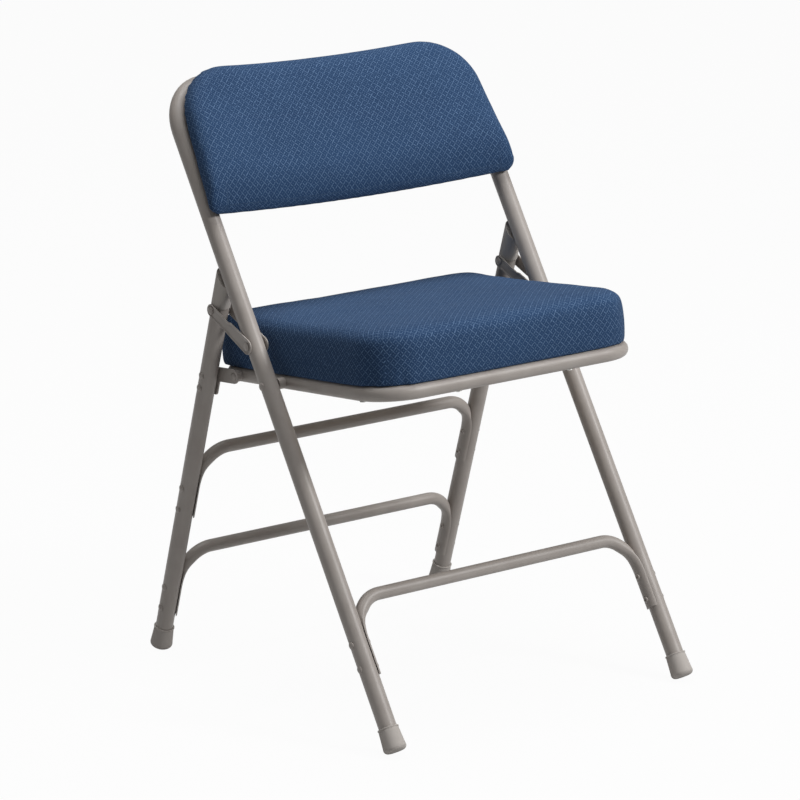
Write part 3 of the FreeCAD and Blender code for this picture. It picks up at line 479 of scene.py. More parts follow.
class GeometryTree:
    """A Geometry Nodes tree with named sizes, which ends in Realize Instances and Set Material."""

    def __init__(self, name: str) -> None:
        """Makes the tree with its geometry input and output.

        Args:
            name: name of the new tree.
        """
        self.tree = bpy.data.node_groups.new(name, "GeometryNodeTree")
        for way in ("INPUT", "OUTPUT"):
            self.tree.interface.new_socket("Geometry", in_out=way, socket_type="NodeSocketGeometry")
        self.entry = self.tree.nodes.new("NodeGroupInput")

    def size(self, name: str, default: float) -> bpy.types.NodeSocket:
        """A named size of the tree, in metres.

        Args:
            name: the input's name.
            default: its value unless grow() gives another.

        Returns:
            The socket that carries it.
        """
        made = self.tree.interface.new_socket(name, in_out="INPUT", socket_type="NodeSocketFloat")
        made.default_value = default
        return self.entry.outputs[name]

    def node(self, kind: str, settings: Optional[dict[str, Any]] = None,
             inputs: Optional[dict[Union[str, int], Any]] = None) -> bpy.types.Node:
        """One node, set up and linked.

        Args:
            kind: the node's type.
            settings: its own settings.
            inputs: plain values or links by socket name or number.

        Returns:
            The node.
        """
        made = self.tree.nodes.new(kind)
        for key, value in (settings or {}).items():
            setattr(made, key, value)
        for key, value in (inputs or {}).items():
            for item in value if isinstance(value, list) else [value]:
                if isinstance(item, bpy.types.NodeSocket):
                    self.tree.links.new(item, made.inputs[key])
                else:
                    made.inputs[key].default_value = item
        return made

    def times(self, first: Any, second: Any, operation: str = "MULTIPLY") -> bpy.types.NodeSocket:
        """Result of one Math node on two sizes."""
        return self.node("ShaderNodeMath", {"operation": operation}, {0: first, 1: second}).outputs[0]

    def stretched(self, geometry: bpy.types.NodeSocket, *factors: Any) -> bpy.types.NodeSocket:
        """Geometry stretched by a factor along each axis.

        Args:
            geometry: what is stretched.
            factors: one factor for each axis, numbers or sockets.

        Returns:
            The stretched geometry.
        """
        scale = self.node("ShaderNodeCombineXYZ", {}, dict(enumerate(factors)))
        return self.node("GeometryNodeTransform", {},
                         {"Geometry": geometry, "Scale": scale.outputs[0]}).outputs[0]

    def dome(self, radius: bpy.types.NodeSocket, height: bpy.types.NodeSocket) -> bpy.types.NodeSocket:
        """Half-sunk ellipsoid whose upper half is a low dome."""
        sphere = self.node("GeometryNodeMeshUVSphere", {}, {"Segments": 28, "Rings": 14, "Radius": 1.0})
        return self.stretched(sphere.outputs[0], radius, radius, height)

    def axis(self) -> bpy.types.NodeSocket:
        """Direction that points_piece() stored on each point."""
        return self.node("GeometryNodeInputNamedAttribute", {"data_type": "FLOAT_VECTOR"},
                         {"Name": "axis"}).outputs[0]

    def close(self, points: bpy.types.NodeSocket, direction: bpy.types.NodeSocket,
              instance: bpy.types.NodeSocket, finish: Finish) -> None:
        """Ends the tree with one instance on each point.

        Args:
            points: the points.
            direction: where the instance's Z leads on each point.
            instance: what is set out.
            finish: the finish that it gets.
        """
        turned = self.node("FunctionNodeAlignRotationToVector", {"axis": "Z"}, {"Vector": direction})
        placed = self.node("GeometryNodeInstanceOnPoints", {}, {
            "Points": points, "Instance": instance, "Rotation": turned.outputs[0]})
        smooth = self.node("GeometryNodeSetShadeSmooth", {}, {"Geometry": placed.outputs[0]})
        real = self.node("GeometryNodeRealizeInstances", {}, {"Geometry": smooth.outputs[0]})
        dressed = self.node("GeometryNodeSetMaterial", {},
                            {"Geometry": real.outputs[0], "Material": finish.material()})
        self.node("NodeGroupOutput", {}, {0: dressed.outputs[0]})

    def grow(self, piece: bpy.types.Object, sizes: dict[str, float]) -> bpy.types.Object:
        """Runs the tree on an object and keeps the result as its plain mesh.

        Args:
            piece: object whose mesh carries the places.
            sizes: values of the tree's named inputs.

        Returns:
            The same object.
        """
        modifier = piece.modifiers.new(self.tree.name, "NODES")
        modifier.node_group = self.tree
        for item in self.tree.interface.items_tree:
            if item.in_out == "INPUT" and item.name in sizes:
                modifier[item.identifier] = sizes[item.name]
        bake_modifiers(piece)
        return piece


def rivet_head_tree() -> GeometryTree:
    """Domed rivet heads with a thin rim, one on each point, facing along its axis.

    Returns:
        The tree.
    """
    made = GeometryTree("rivet_heads")
    diameter, height = made.size("Head Diameter", 9 * MM), made.size("Head Height", 1.9 * MM)
    rim = made.size("Rim Height", 0.35 * MM)
    dome = made.dome(made.times(diameter, 0.47), height)
    washer = made.node("GeometryNodeMeshCylinder", {}, {"Vertices": 28, "Radius": made.times(diameter, 0.5),
                                                        "Depth": made.times(rim, 2.0)})
    head = made.node("GeometryNodeJoinGeometry", {}, {0: [dome, washer.outputs["Mesh"]]})
    made.close(made.entry.outputs[0], made.axis(), head.outputs[0], Finish.PAINT)
    return made


def rivet_tail_tree() -> GeometryTree:
    """Rolled rivet tails, each a ring round its small hole.

    Returns:
        The tree.
    """
    made = GeometryTree("rivet_tails")
    diameter, height = made.size("Tail Diameter", 7.6 * MM), made.size("Tail Height", 1.3 * MM)
    loop = made.node("GeometryNodeCurvePrimitiveCircle", {"mode": "RADIUS"},
                     {"Resolution": 24, "Radius": made.times(diameter, 0.31)})
    roll_radius = made.times(diameter, 0.19)
    roll = made.node("GeometryNodeCurvePrimitiveCircle", {"mode": "RADIUS"},
                     {"Resolution": 12, "Radius": roll_radius})
    ring = made.node("GeometryNodeCurveToMesh", {}, {0: loop.outputs[0], 1: roll.outputs[0]})
    flat = made.stretched(ring.outputs[0], 1.0, 1.0, made.times(height, roll_radius, "DIVIDE"))
    made.close(made.entry.outputs[0], made.axis(), flat, Finish.PAINT)
    return made


def screw_head_tree() -> GeometryTree:
    """Low pan heads with a cross recess, one on each point, facing along its axis.

    Returns:
        The tree.
    """
    made = GeometryTree("screw_heads")
    diameter, height = made.size("Head Diameter", 8 * MM), made.size("Head Height", 1.2 * MM)
    slot_width = made.size("Slot Width", 1.1 * MM)
    head = made.dome(made.times(diameter, 0.5), height)
    slot_length = made.times(diameter, 0.55)
    lift = made.node("ShaderNodeCombineXYZ", {}, {0: 0.0, 1: 0.0, 2: height})
    for sides in ((slot_length, slot_width), (slot_width, slot_length)):
        shape = made.node("ShaderNodeCombineXYZ", {}, {0: sides[0], 1: sides[1], 2: height})
        bar = made.node("GeometryNodeMeshCube", {}, {"Size": shape.outputs[0]})
        raised = made.node("GeometryNodeTransform", {}, {"Geometry": bar.outputs["Mesh"],
                                                         "Translation": lift.outputs[0]})
        head = made.node("GeometryNodeMeshBoolean", {"operation": "DIFFERENCE"},
                         {"Mesh 1": head, "Mesh 2": raised.outputs[0]}).outputs[0]
    made.close(made.entry.outputs[0], made.axis(), head, Finish.ZINC)
    return made


def stitch_tree() -> GeometryTree:
    """Stitches along a closed line of edges.

    Returns:
        The tree.
    """
    made = GeometryTree("stitches")
    pitch, length = made.size("Stitch Pitch", 5 * MM), made.size("Stitch Length", 3.4 * MM)
    thick = made.size("Thread Diameter", 0.7 * MM)
    line = made.node("GeometryNodeMeshToCurve", {}, {0: made.entry.outputs[0]})
    steps = made.node("GeometryNodeResampleCurve", {"mode": "LENGTH"},
                      {"Curve": line.outputs[0], "Length": pitch})
    bead = made.node("GeometryNodeMeshUVSphere", {}, {"Segments": 8, "Rings": 6, "Radius": 0.5})
    stitch = made.stretched(bead.outputs[0], thick, thick, length)
    tangent = made.node("GeometryNodeInputTangent")
    made.close(steps.outputs[0], tangent.outputs[0], stitch, Finish.THREAD)
    return made


# ---------------------------------------------------------------- mesh helpers

def smooth_step(share: Any) -> Any:
    """Smooth rise from 0 to 1 as a number, or each of an array, goes from 0 to 1."""
    share = np.clip(share, 0.0, 1.0)
    return share * share * (3 - 2 * share)


def bake_modifiers(piece: bpy.types.Object) -> None:
    """Turns a piece's evaluated shape into its plain mesh and takes its modifiers off.

    Args:
        piece: the piece.
    """
    bpy.context.view_layer.update()
    evaluated = piece.evaluated_get(bpy.context.evaluated_depsgraph_get())
    mesh = bpy.data.meshes.new_from_object(evaluated)
    piece.modifiers.clear()
    piece.data = mesh
    mesh.name = piece.name


def new_piece(name: str, points: np.ndarray, faces: Iterable[Sequence[int]],
              edges: Iterable[Sequence[int]] = ()) -> bpy.types.Object:
    """Object at the origin with a mesh of its own.

    Args:
        name: piece name.
        points: vertex places.
        faces: vertex numbers of each face.
        edges: vertex numbers of each loose edge.

    Returns:
        The object, in the scene.
    """
    mesh = bpy.data.meshes.new(name)
    mesh.from_pydata([tuple(p) for p in points], [tuple(e) for e in edges], [tuple(f) for f in faces])
    mesh.update()
    piece = bpy.data.objects.new(name, mesh)
    bpy.context.scene.collection.objects.link(piece)
    return piece


def face_outwards(piece: bpy.types.Object) -> None:
    """Merges doubles and turns every face of a closed mesh outwards.

    Args:
        piece: the piece.
    """
    shape = bmesh.new()
    shape.from_mesh(piece.data)
    bmesh.ops.remove_doubles(shape, verts=shape.verts, dist=1e-6)
    bmesh.ops.recalc_face_normals(shape, faces=shape.faces)
    shape.to_mesh(piece.data)
    shape.free()


def dress(piece: bpy.types.Object, finish: Finish) -> None:
    """Gives every face of a piece one finish.

    Args:
        piece: a new piece or a CAD node.
        finish: what it gets.
    """
    if piece.material_slots:
        for slot in piece.material_slots:
            slot.material = finish.material()
    else:
        piece.data.materials.append(finish.material())


def vertex_places(piece: bpy.types.Object) -> np.ndarray:
    """A piece's vertex places as rows.

    Args:
        piece: the piece.

    Returns:
        One row of three numbers for each vertex.
    """
    flat = np.empty(len(piece.data.vertices) * 3)
    piece.data.vertices.foreach_get("co", flat)
    return flat.reshape(-1, 3)


def loop_vertices(piece: bpy.types.Object) -> np.ndarray:
    """Vertex number of each face corner.

    Args:
        piece: the piece.

    Returns:
        One number for each corner.
    """
    numbers = np.empty(len(piece.data.loops), np.int64)
    piece.data.loops.foreach_get("vertex_index", numbers)
    return numbers


def loop_faces(piece: bpy.types.Object) -> np.ndarray:
    """Face number of each face corner.

    Args:
        piece: the piece.

    Returns:
        One number for each corner.
    """
    counts = np.empty(len(piece.data.polygons), np.int64)
    piece.data.polygons.foreach_get("loop_total", counts)
    return np.repeat(np.arange(len(counts)), counts)


def move_vertices(piece: bpy.types.Object, points: np.ndarray) -> None:
    """Puts a piece's vertices at new places."""
    piece.data.vertices.foreach_set("co", np.asarray(points, np.float64).ravel())
    piece.data.update()


def islands_of(node: str) -> list[np.ndarray]:
    """Vertex places of each separate solid of a CAD node.

    Args:
        node: the node's name.

    Returns:
        One array of rows for each solid.
    """
    shape = bmesh.new()
    shape.from_mesh(frame["nodes"][node].data)
    bmesh.ops.remove_doubles(shape, verts=shape.verts, dist=1e-6)
    waiting = set(shape.verts)
    found = []
    while waiting:
        stack, members = [waiting.pop()], []
        while stack:
            vertex = stack.pop()
            members.append(tuple(vertex.co))
            for edge in vertex.link_edges:
                other = edge.other_vert(vertex)
                if other in waiting:
                    waiting.remove(other)
                    stack.append(other)
        found.append(np.array(members))
    shape.free()
    return sorted(found, key=lambda rows: tuple(rows.mean(axis=0).round(5)))


def points_piece(name: str, seats: Sequence[tuple[Vector, Vector]]) -> bpy.types.Object:
    """Points with an axis each, for a tree to grow on.

    Args:
        name: piece name.
        seats: places and directions.

    Returns:
        The piece.
    """
    piece = new_piece(name, np.array([tuple(place) for place, _ in seats]), [])
    axis = piece.data.attributes.new("axis", "FLOAT_VECTOR", "POINT")
    axis.data.foreach_set("vector", [number for _, way in seats for number in way])
    return piece


def shade_smooth(piece: bpy.types.Object, crease_angle: float = math.pi) -> None:
    """Smooth shading, sharp where faces meet at more than an angle.

    Args:
        piece: the piece.
        crease_angle: the angle in radians.
    """
    piece.data.shade_smooth()
    if crease_angle < math.pi:
        piece.data.set_sharp_from_angle(angle=crease_angle)


def rounded_outline(corners: Sequence[tuple[float, float]], radii: Sequence[float],
                    steps: int = 12) -> np.ndarray:
    """Closed outline through corners, each turned with its own radius.

    Args:
        corners: corner places in order.
        radii: each corner's radius.
        steps: segments of each arc.

    Returns:
        One row of two numbers for each point.
    """
    places = [Vector(corner) for corner in corners]
    count = len(places)
    outline = []
    for index, (corner, radius) in enumerate(zip(places, radii)):
        back = (places[index - 1] - corner).normalized()
        ahead = (places[(index + 1) % count] - corner).normalized()
        half_turn = back.angle(ahead) / 2
        centre = corner + (back + ahead).normalized() * (radius / math.sin(half_turn))
        start, end = (corner + way * (radius / math.tan(half_turn)) - centre for way in (back, ahead))
        outline += [centre + start.slerp(end, step / steps) * radius for step in range(steps + 1)]
    return np.array([tuple(point) for point in outline])


def raised(plan: np.ndarray, height: float) -> np.ndarray:
    """Plan points at one height."""
    return np.column_stack([plan, np.full(len(plan), height)])


def unit_rows(rows: np.ndarray) -> np.ndarray:
    """Each row at length 1, or zero where it has none."""
    return rows / np.maximum(np.linalg.norm(rows, axis=1, keepdims=True), 1e-6)


def rings_mesh(name: str, rings: Sequence[np.ndarray]) -> bpy.types.Object:
    """Closed mesh through rings of equal count, capped at both ends.

    Args:
        name: piece name.
        rings: points of each ring.

    Returns:
        The piece.
    """
    count = len(rings[0])
    faces = [list(range(count)), [len(rings) * count - 1 - i for i in range(count)]]
    for level in range(len(rings) - 1):
        low, high = level * count, (level + 1) * count
        for index in range(count):
            after = (index + 1) % count
            faces.append([low + index, low + after, high + after, high + index])
    piece = new_piece(name, np.vstack(rings), faces)
    face_outwards(piece)
    return piece


@dataclass(frozen=True)
class LeaningFrame:
    """A local frame turned about X, in which one sub-assembly is laid out."""

    origin: Vector
    lean_degrees: float

    def turn(self) -> np.ndarray:
        """Its rotation matrix."""
        return np.array(Matrix.Rotation(math.radians(self.lean_degrees), 3, "X"))

    def placed(self, local: np.ndarray) -> np.ndarray:
        """Local points in the chair's frame."""
        return np.asarray(local) @ self.turn().T + np.array(self.origin)

    def local(self, places: np.ndarray) -> np.ndarray:
        """Places in the chair's frame as local points."""
        return (np.asarray(places) - np.array(self.origin)) @ self.turn()

    def point(self, local: Sequence[float]) -> Vector:
        """One local point in the chair's frame."""
        return Vector(self.placed(np.array([local]))[0])

    def way(self, local: Sequence[float]) -> Vector:
        """A local direction in the chair's frame."""
        return Vector(self.turn() @ np.array(local))


@dataclass(frozen=True)
class Stance:
    """The chair's leaning frames, found from its joints and pivots."""

    front_lean: float = 32.9
    rear_lean: float = 17.3
    seat_tilt: float = 6.3
    seat_pivot_reach: float = 475.1 * MM
    leg_pivot_reach: float = 496.4 * MM
    leg_half_width: float = 223.4 * MM

    def joint_place(self, name: str) -> Vector:
        """Where one joint's pivot is."""
        return Vector(next(joint["pos_m"] for joint in frame["joints"] if joint["name"] == name))

    def node_middle(self, name: str) -> Vector:
        """Middle of a CAD node's box, on the chair's own middle plane."""
        low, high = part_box(name)
        return Vector((0.0, (low.y + high.y) / 2, (low.z + high.z) / 2))

    def seat(self) -> LeaningFrame:
        """Seat frame: Y back along the seat ring from the front pivot, Z square to it."""
        return LeaningFrame(self.joint_place("seat_fold"), -self.seat_tilt)

    def front(self) -> LeaningFrame:
        """Front frame: Z up the front legs from the floor, Y square to them.

        Returns:
            The frame.
        """
        lean = math.radians(self.front_lean)
        up_leg = Vector((0.0, math.sin(lean), math.cos(lean)))
        return LeaningFrame(self.joint_place("seat_fold") - up_leg * self.seat_pivot_reach,
                            -self.front_lean)

    def rear(self) -> LeaningFrame:
        """Rear frame: Z up the rear legs from the floor, Y square to them.

        Returns:
            The frame.
        """
        lean = math.radians(self.rear_lean)
        up_leg = Vector((0.0, -math.sin(lean), math.cos(lean)))
        return LeaningFrame(self.link_rear_pivot() - up_leg * self.leg_pivot_reach, self.rear_lean)

    def link_front_pivot(self) -> Vector:
        """Pivot of the links on the front legs."""
        return self.joint_place("left_link_swing")

    def link_rear_pivot(self) -> Vector:
        """Pivot of the links on the rear legs."""
        return self.node_middle("left_link_rear_rivets")


# ---------------------------------------------------------------- padded pieces

@dataclass
class Pad:
    """A padded piece, blown up as cloth round its foam. Its local Z leads from the board to the face."""

    stance: Stance
    voxel: float = 4.5 * MM
    pressure: float = 4.0
    cap: float = 5.0 * MM
    kept_swell: float = 0.5
    sim_frames: int = 20
    held_height: float = 3.0 * MM
    softness: float = 0.9 * MM
    # small pulls round the edge: depth, added depth in corners, and count, phase and strength of each wave
    pull: float = 0.15 * MM
    corner_pull: float = 0.55 * MM
    waves: Sequence[tuple[float, float, float]] = ((46.0, 0.0, 1.0), (83.0, 1.3, 0.6))

    def remesh(self, piece: bpy.types.Object) -> None:
        """Even mesh of quads over the whole piece.

        Args:
            piece: the piece.
        """
        modifier = piece.modifiers.new("remesh", "REMESH")
        modifier.mode = "VOXEL"
        modifier.voxel_size = self.voxel
        bake_modifiers(piece)

    def inflate(self, piece: bpy.types.Object, held: np.ndarray) -> None:
        """Blows the piece up as cloth under pressure, with some vertices held.

        Args:
            piece: the remeshed piece.
            held: true for each vertex that stays.
        """
        rest = vertex_places(piece)
        group = piece.vertex_groups.new(name="held")
        group.add([int(i) for i in np.flatnonzero(held)], 1.0, "REPLACE")
        cloth = piece.modifiers.new("cloth", "CLOTH")
        cloth.settings.quality = 6
        cloth.settings.tension_stiffness = 18.0
        cloth.settings.compression_stiffness = 18.0
        cloth.settings.shear_stiffness = 8.0
        cloth.settings.bending_stiffness = 1.0
        cloth.settings.use_pressure = True
        cloth.settings.uniform_pressure_force = self.pressure
        cloth.settings.vertex_group_mass = group.name
        cloth.settings.effector_weights.gravity = 0.0
        cloth.collision_settings.use_collision = False
        cloth.point_cache.frame_start = 1
        cloth.point_cache.frame_end = self.sim_frames
        scene = bpy.context.scene
        for step in range(1, self.sim_frames + 1):
            scene.frame_set(step)
        bake_modifiers(piece)
        scene.frame_set(1)
        moved = vertex_places(piece) - rest
        length = np.linalg.norm(moved, axis=1, keepdims=True)
        share = self.kept_swell * np.minimum(1.0, self.cap / np.maximum(length, 1e-9))
        LOG.info("%s: cloth moved %.1f mm at most", piece.name, length.max() / MM)
        move_vertices(piece, rest + self.evened(piece, moved * share))
        piece.vertex_groups.clear()

    def evened(self, piece: bpy.types.Object, moved: np.ndarray, rounds: int = 30) -> np.ndarray:
        """Movement of the cloth without its creases.

        Args:
            piece: the piece, whose edges carry the evening out.
            moved: one row for each vertex.
            rounds: how often each vertex takes on its neighbours' mean.

        Returns:
            The evened movement.
        """
        edges = np.empty(len(piece.data.edges) * 2, np.int64)
        piece.data.edges.foreach_get("vertices", edges)
        first, second = edges.reshape(-1, 2).T
        count = np.bincount(edges, minlength=len(moved))[:, None]
        for _ in range(rounds):
            total = np.zeros_like(moved)
            np.add.at(total, first, moved[second])
            np.add.at(total, second, moved[first])
            moved = 0.3 * moved + 0.7 * total / np.maximum(count, 1)
        return moved

    def edge_pulls(self, turn: np.ndarray, out: np.ndarray) -> np.ndarray:
        """How far the cloth is pulled in round the edge.

        Args:
            turn: angle of each point round the pad.
            out: its unit direction out of the pad.

        Returns:
            Metres; below zero where the cloth stands out.
        """
        waves = sum(strength * np.sin(turn * count + phase) for count, phase, strength in self.waves)
        corner = np.clip(4 * np.abs(out[:, 0] * out[:, 1]), 0.0, 1.0)
        return waves * (self.pull + self.corner_pull * corner)

    def unevenness(self, points: np.ndarray, coarse: float, fine: float, share: float) -> np.ndarray:
        """Soft hollows and rises at each point.

        Args:
            points: one row for each vertex.
            coarse: cells per metre of the large ones.
            fine: cells per metre of the small ones.
            share: how strong the small ones are beside the large ones.

        Returns:
            One number for each point.
        """
        return np.array([noise.noise(Vector(p) * coarse) + share * noise.noise(Vector(p) * fine)
                         for p in points])

    def refine(self, piece: bpy.types.Object) -> None:
        """Evens the cloth out and halves its mesh.

        Args:
            piece: the piece.
        """
        smooth = piece.modifiers.new("even", "SMOOTH")
        smooth.factor, smooth.iterations = 0.5, 4
        finer = piece.modifiers.new("finer", "SUBSURF")
        finer.levels = finer.render_levels = 1
        bake_modifiers(piece)

    def lay_cloth(self, piece: bpy.types.Object, flat: np.ndarray) -> None:
        """Stores where each vertex lies on the flat cloth, for its weave.

        Args:
            piece: the finished piece.
            flat: two numbers in metres for each vertex.
        """
        self.lay_loops(piece, flat[loop_vertices(piece)])

    def lay_loops(self, piece: bpy.types.Object, flat: np.ndarray) -> None:
        """Stores the flat cloth place of each face corner."""
        layer = piece.data.uv_layers.new(name="cloth")
        layer.data.foreach_set("uv", flat.astype(np.float32).ravel())


@dataclass
class SeatPad(Pad):
    """The seat cushion: a foam block on its board, under cloth pulled down to the ring."""

    half_width: float = 203.0 * MM
    front: float = 204.0 * MM
    rear: float = 155.0 * MM
    front_radius: float = 60.0 * MM
    rear_radius: float = 32.0 * MM
    floor: float = 9.8 * MM
    hem: float = 6.6 * MM
    top: float = 73.6 * MM
    crown: float = 1.2 * MM
    ring_radius: float = 9.5 * MM
    ring_inset: float = 10.0 * MM
    ring_gap: float = 0.25 * MM
    press_height: float = 12.0 * MM
    pull_height: float = 26.0 * MM
    soft_height: float = 8.0 * MM
    # what counts as the side: below the top, and near the outline; and where the top cloth turns down
    side_drop: float = 7.0 * MM
    side_band: float = 12.0 * MM
    turn_drop: float = 4.0 * MM
    # height over the ring and inset from the outline, from the board round to the top
    profile: Sequence[tuple[float, float]] = (
        (9.8, 60.0), (9.8, 30.0), (9.8, 14.0), (9.8, 5.5), (11.2, 3.4), (16.0, 2.4), (30.0, 1.6),
        (44.0, 1.6), (56.0, 2.2), (63.5, 3.8), (68.6, 7.4), (71.6, 13.0), (73.0, 21.0), (73.6, 34.0))
    # inset and share of the crown
    crown_rises: Sequence[tuple[float, float]] = ((60.0, 0.4), (95.0, 0.8), (130.0, 1.0))

    def outline(self, inset: float) -> np.ndarray:
        """The plan outline, inset on every side.

        Args:
            inset: how far inside the pad's outline.

        Returns:
            One row of two numbers for each point.
        """
        width, front, rear = self.half_width - inset, self.front - inset, self.rear - inset
        corners = [(-width, -front), (width, -front), (width, rear), (-width, rear)]
        radii = [max(self.front_radius - inset * 0.8, 20 * MM)] * 2 \
            + [max(self.rear_radius - inset * 0.8, 12 * MM)] * 2
        return rounded_outline(corners, radii)

    def block(self) -> bpy.types.Object:
        """The foam block's mesh in the seat's frame.

        Returns:
            The closed mesh.
        """
        rings = [raised(self.outline(inset * MM), height * MM) for height, inset in self.profile]
        rings += [raised(self.outline(inset * MM), self.top + self.crown * rise)
                  for inset, rise in self.crown_rises]
        return rings_mesh("seat_cushion", rings)

    def corner_radius(self, plan: np.ndarray) -> np.ndarray:
        """Radius of the outline's corner nearest to each point."""
        return np.where(plan[:, 1] < 0, self.front_radius, self.rear_radius)

    def past_core(self, plan: np.ndarray) -> np.ndarray:
        """How far each point lies past the plan's core, whose corners are the corner centres.

        Args:
            plan: points in the plan, one row each.

        Returns:
            One row of two numbers for each point, zero in the core.
        """
        radius = self.corner_radius(plan)
        reach = np.where(plan[:, 1] < 0, self.front, self.rear) - radius
        across = np.maximum(np.abs(plan[:, 0]) - self.half_width + radius, 0)
        return np.column_stack([np.sign(plan[:, 0]) * across,
                                np.sign(plan[:, 1]) * np.maximum(np.abs(plan[:, 1]) - reach, 0)])

    def outward(self, plan: np.ndarray) -> np.ndarray:
        """Unit direction out of the plan's core at each point."""
        return unit_rows(self.past_core(plan))

    def inset_of(self, plan: np.ndarray) -> np.ndarray:
        """How far inside the plan outline each point lies."""
        return self.corner_radius(plan) - np.linalg.norm(self.past_core(plan), axis=1)

    def wrap(self, piece: bpy.types.Object, points: np.ndarray) -> None:
        """Lays the cloth: flat over the top, and straight down every side and corner.

        Args:
            piece: the finished piece.
            points: its vertex places in the seat's frame.
        """
        corners, faces = loop_vertices(piece), loop_faces(piece)
        count = np.bincount(faces)[:, None]
        middle = np.column_stack([np.bincount(faces, points[corners, axis]) for axis in range(3)]) / count
        away = self.past_core(middle[:, :2])
        is_side = (middle[:, 2] < self.top - self.side_drop) & (middle[:, 2] > self.floor) \
            & (np.linalg.norm(away, axis=1) > self.corner_radius(middle[:, :2]) - self.side_band)
        along_x = np.abs(away[:, 1]) >= np.abs(away[:, 0])
        plan = points[:, :2]
        radius, past = self.corner_radius(plan), self.past_core(plan)
        core, sign = plan - past, np.sign(plan)
        angle = np.arctan2(np.abs(past[:, 0]), np.abs(past[:, 1]))
        drop = np.maximum(self.top - self.turn_drop - points[:, 2], 0.0)
        edge = np.abs(core) + radius[:, None] + drop[:, None]
        by_front = np.column_stack([core[:, 0] + sign[:, 0] * radius * angle, sign[:, 1] * edge[:, 1]])
        by_side = np.column_stack([sign[:, 0] * edge[:, 0],
                                   core[:, 1] + sign[:, 1] * radius * (math.pi / 2 - angle)])
        side_cloth = np.where(along_x[faces, None], by_front[corners], by_side[corners])
        top_cloth = (plan + self.outward(plan) * drop[:, None])[corners]
        self.lay_loops(piece, np.where(is_side[faces, None], side_cloth, top_cloth))

    def settle(self, points: np.ndarray) -> np.ndarray:
        """Rests the underside on the ring and softens the sides with small pulls.

        Args:
            points: vertex places in the seat's frame.

        Returns:
            The places after settling.
        """
        settled = points.copy()
        out = self.outward(points[:, :2])
        height = points[:, 2]
        low = np.clip(1.0 - (height - self.floor) / self.pull_height, 0.0, 1.0) * (height > self.floor + MM)
        turn = np.arctan2(points[:, 1], points[:, 0])
        settled[:, :2] -= out * (self.edge_pulls(turn, out) * low)[:, None]
        soft = self.unevenness(points, 14.0, 37.0, 0.5)
        settled[:, 2] += soft * self.softness * (height > self.floor + self.soft_height)
        to_ring = np.maximum(self.ring_inset - self.inset_of(points[:, :2]), 0.0)
        over_ring = np.sqrt(np.maximum(self.ring_radius ** 2 - to_ring ** 2, 0.0)) + self.ring_gap
        rest = np.where(to_ring > 0, np.maximum(over_ring, self.hem), self.floor)
        fade = np.clip(1.0 - (height - self.floor) / self.press_height, 0.0, 1.0) ** 1.5
        settled[:, 2] -= (settled[:, 2] - rest) * fade
        settled[:, 2] = np.maximum(settled[:, 2], rest)
        return settled

    def build(self) -> bpy.types.Object:
        """Builds, blows up and places the cushion.

        Returns:
            The finished piece.
        """
        piece = self.block()
        self.remesh(piece)
        self.inflate(piece, vertex_places(piece)[:, 2] < self.floor + self.held_height)
        self.refine(piece)
        points = self.settle(vertex_places(piece))
        self.wrap(piece, points)
        move_vertices(piece, self.stance.seat().placed(points))
        shade_smooth(piece)
        dress(piece, Finish.CLOTH)
        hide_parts("seat_cover", "seat_foam")
        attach(piece, "seat")
        return piece


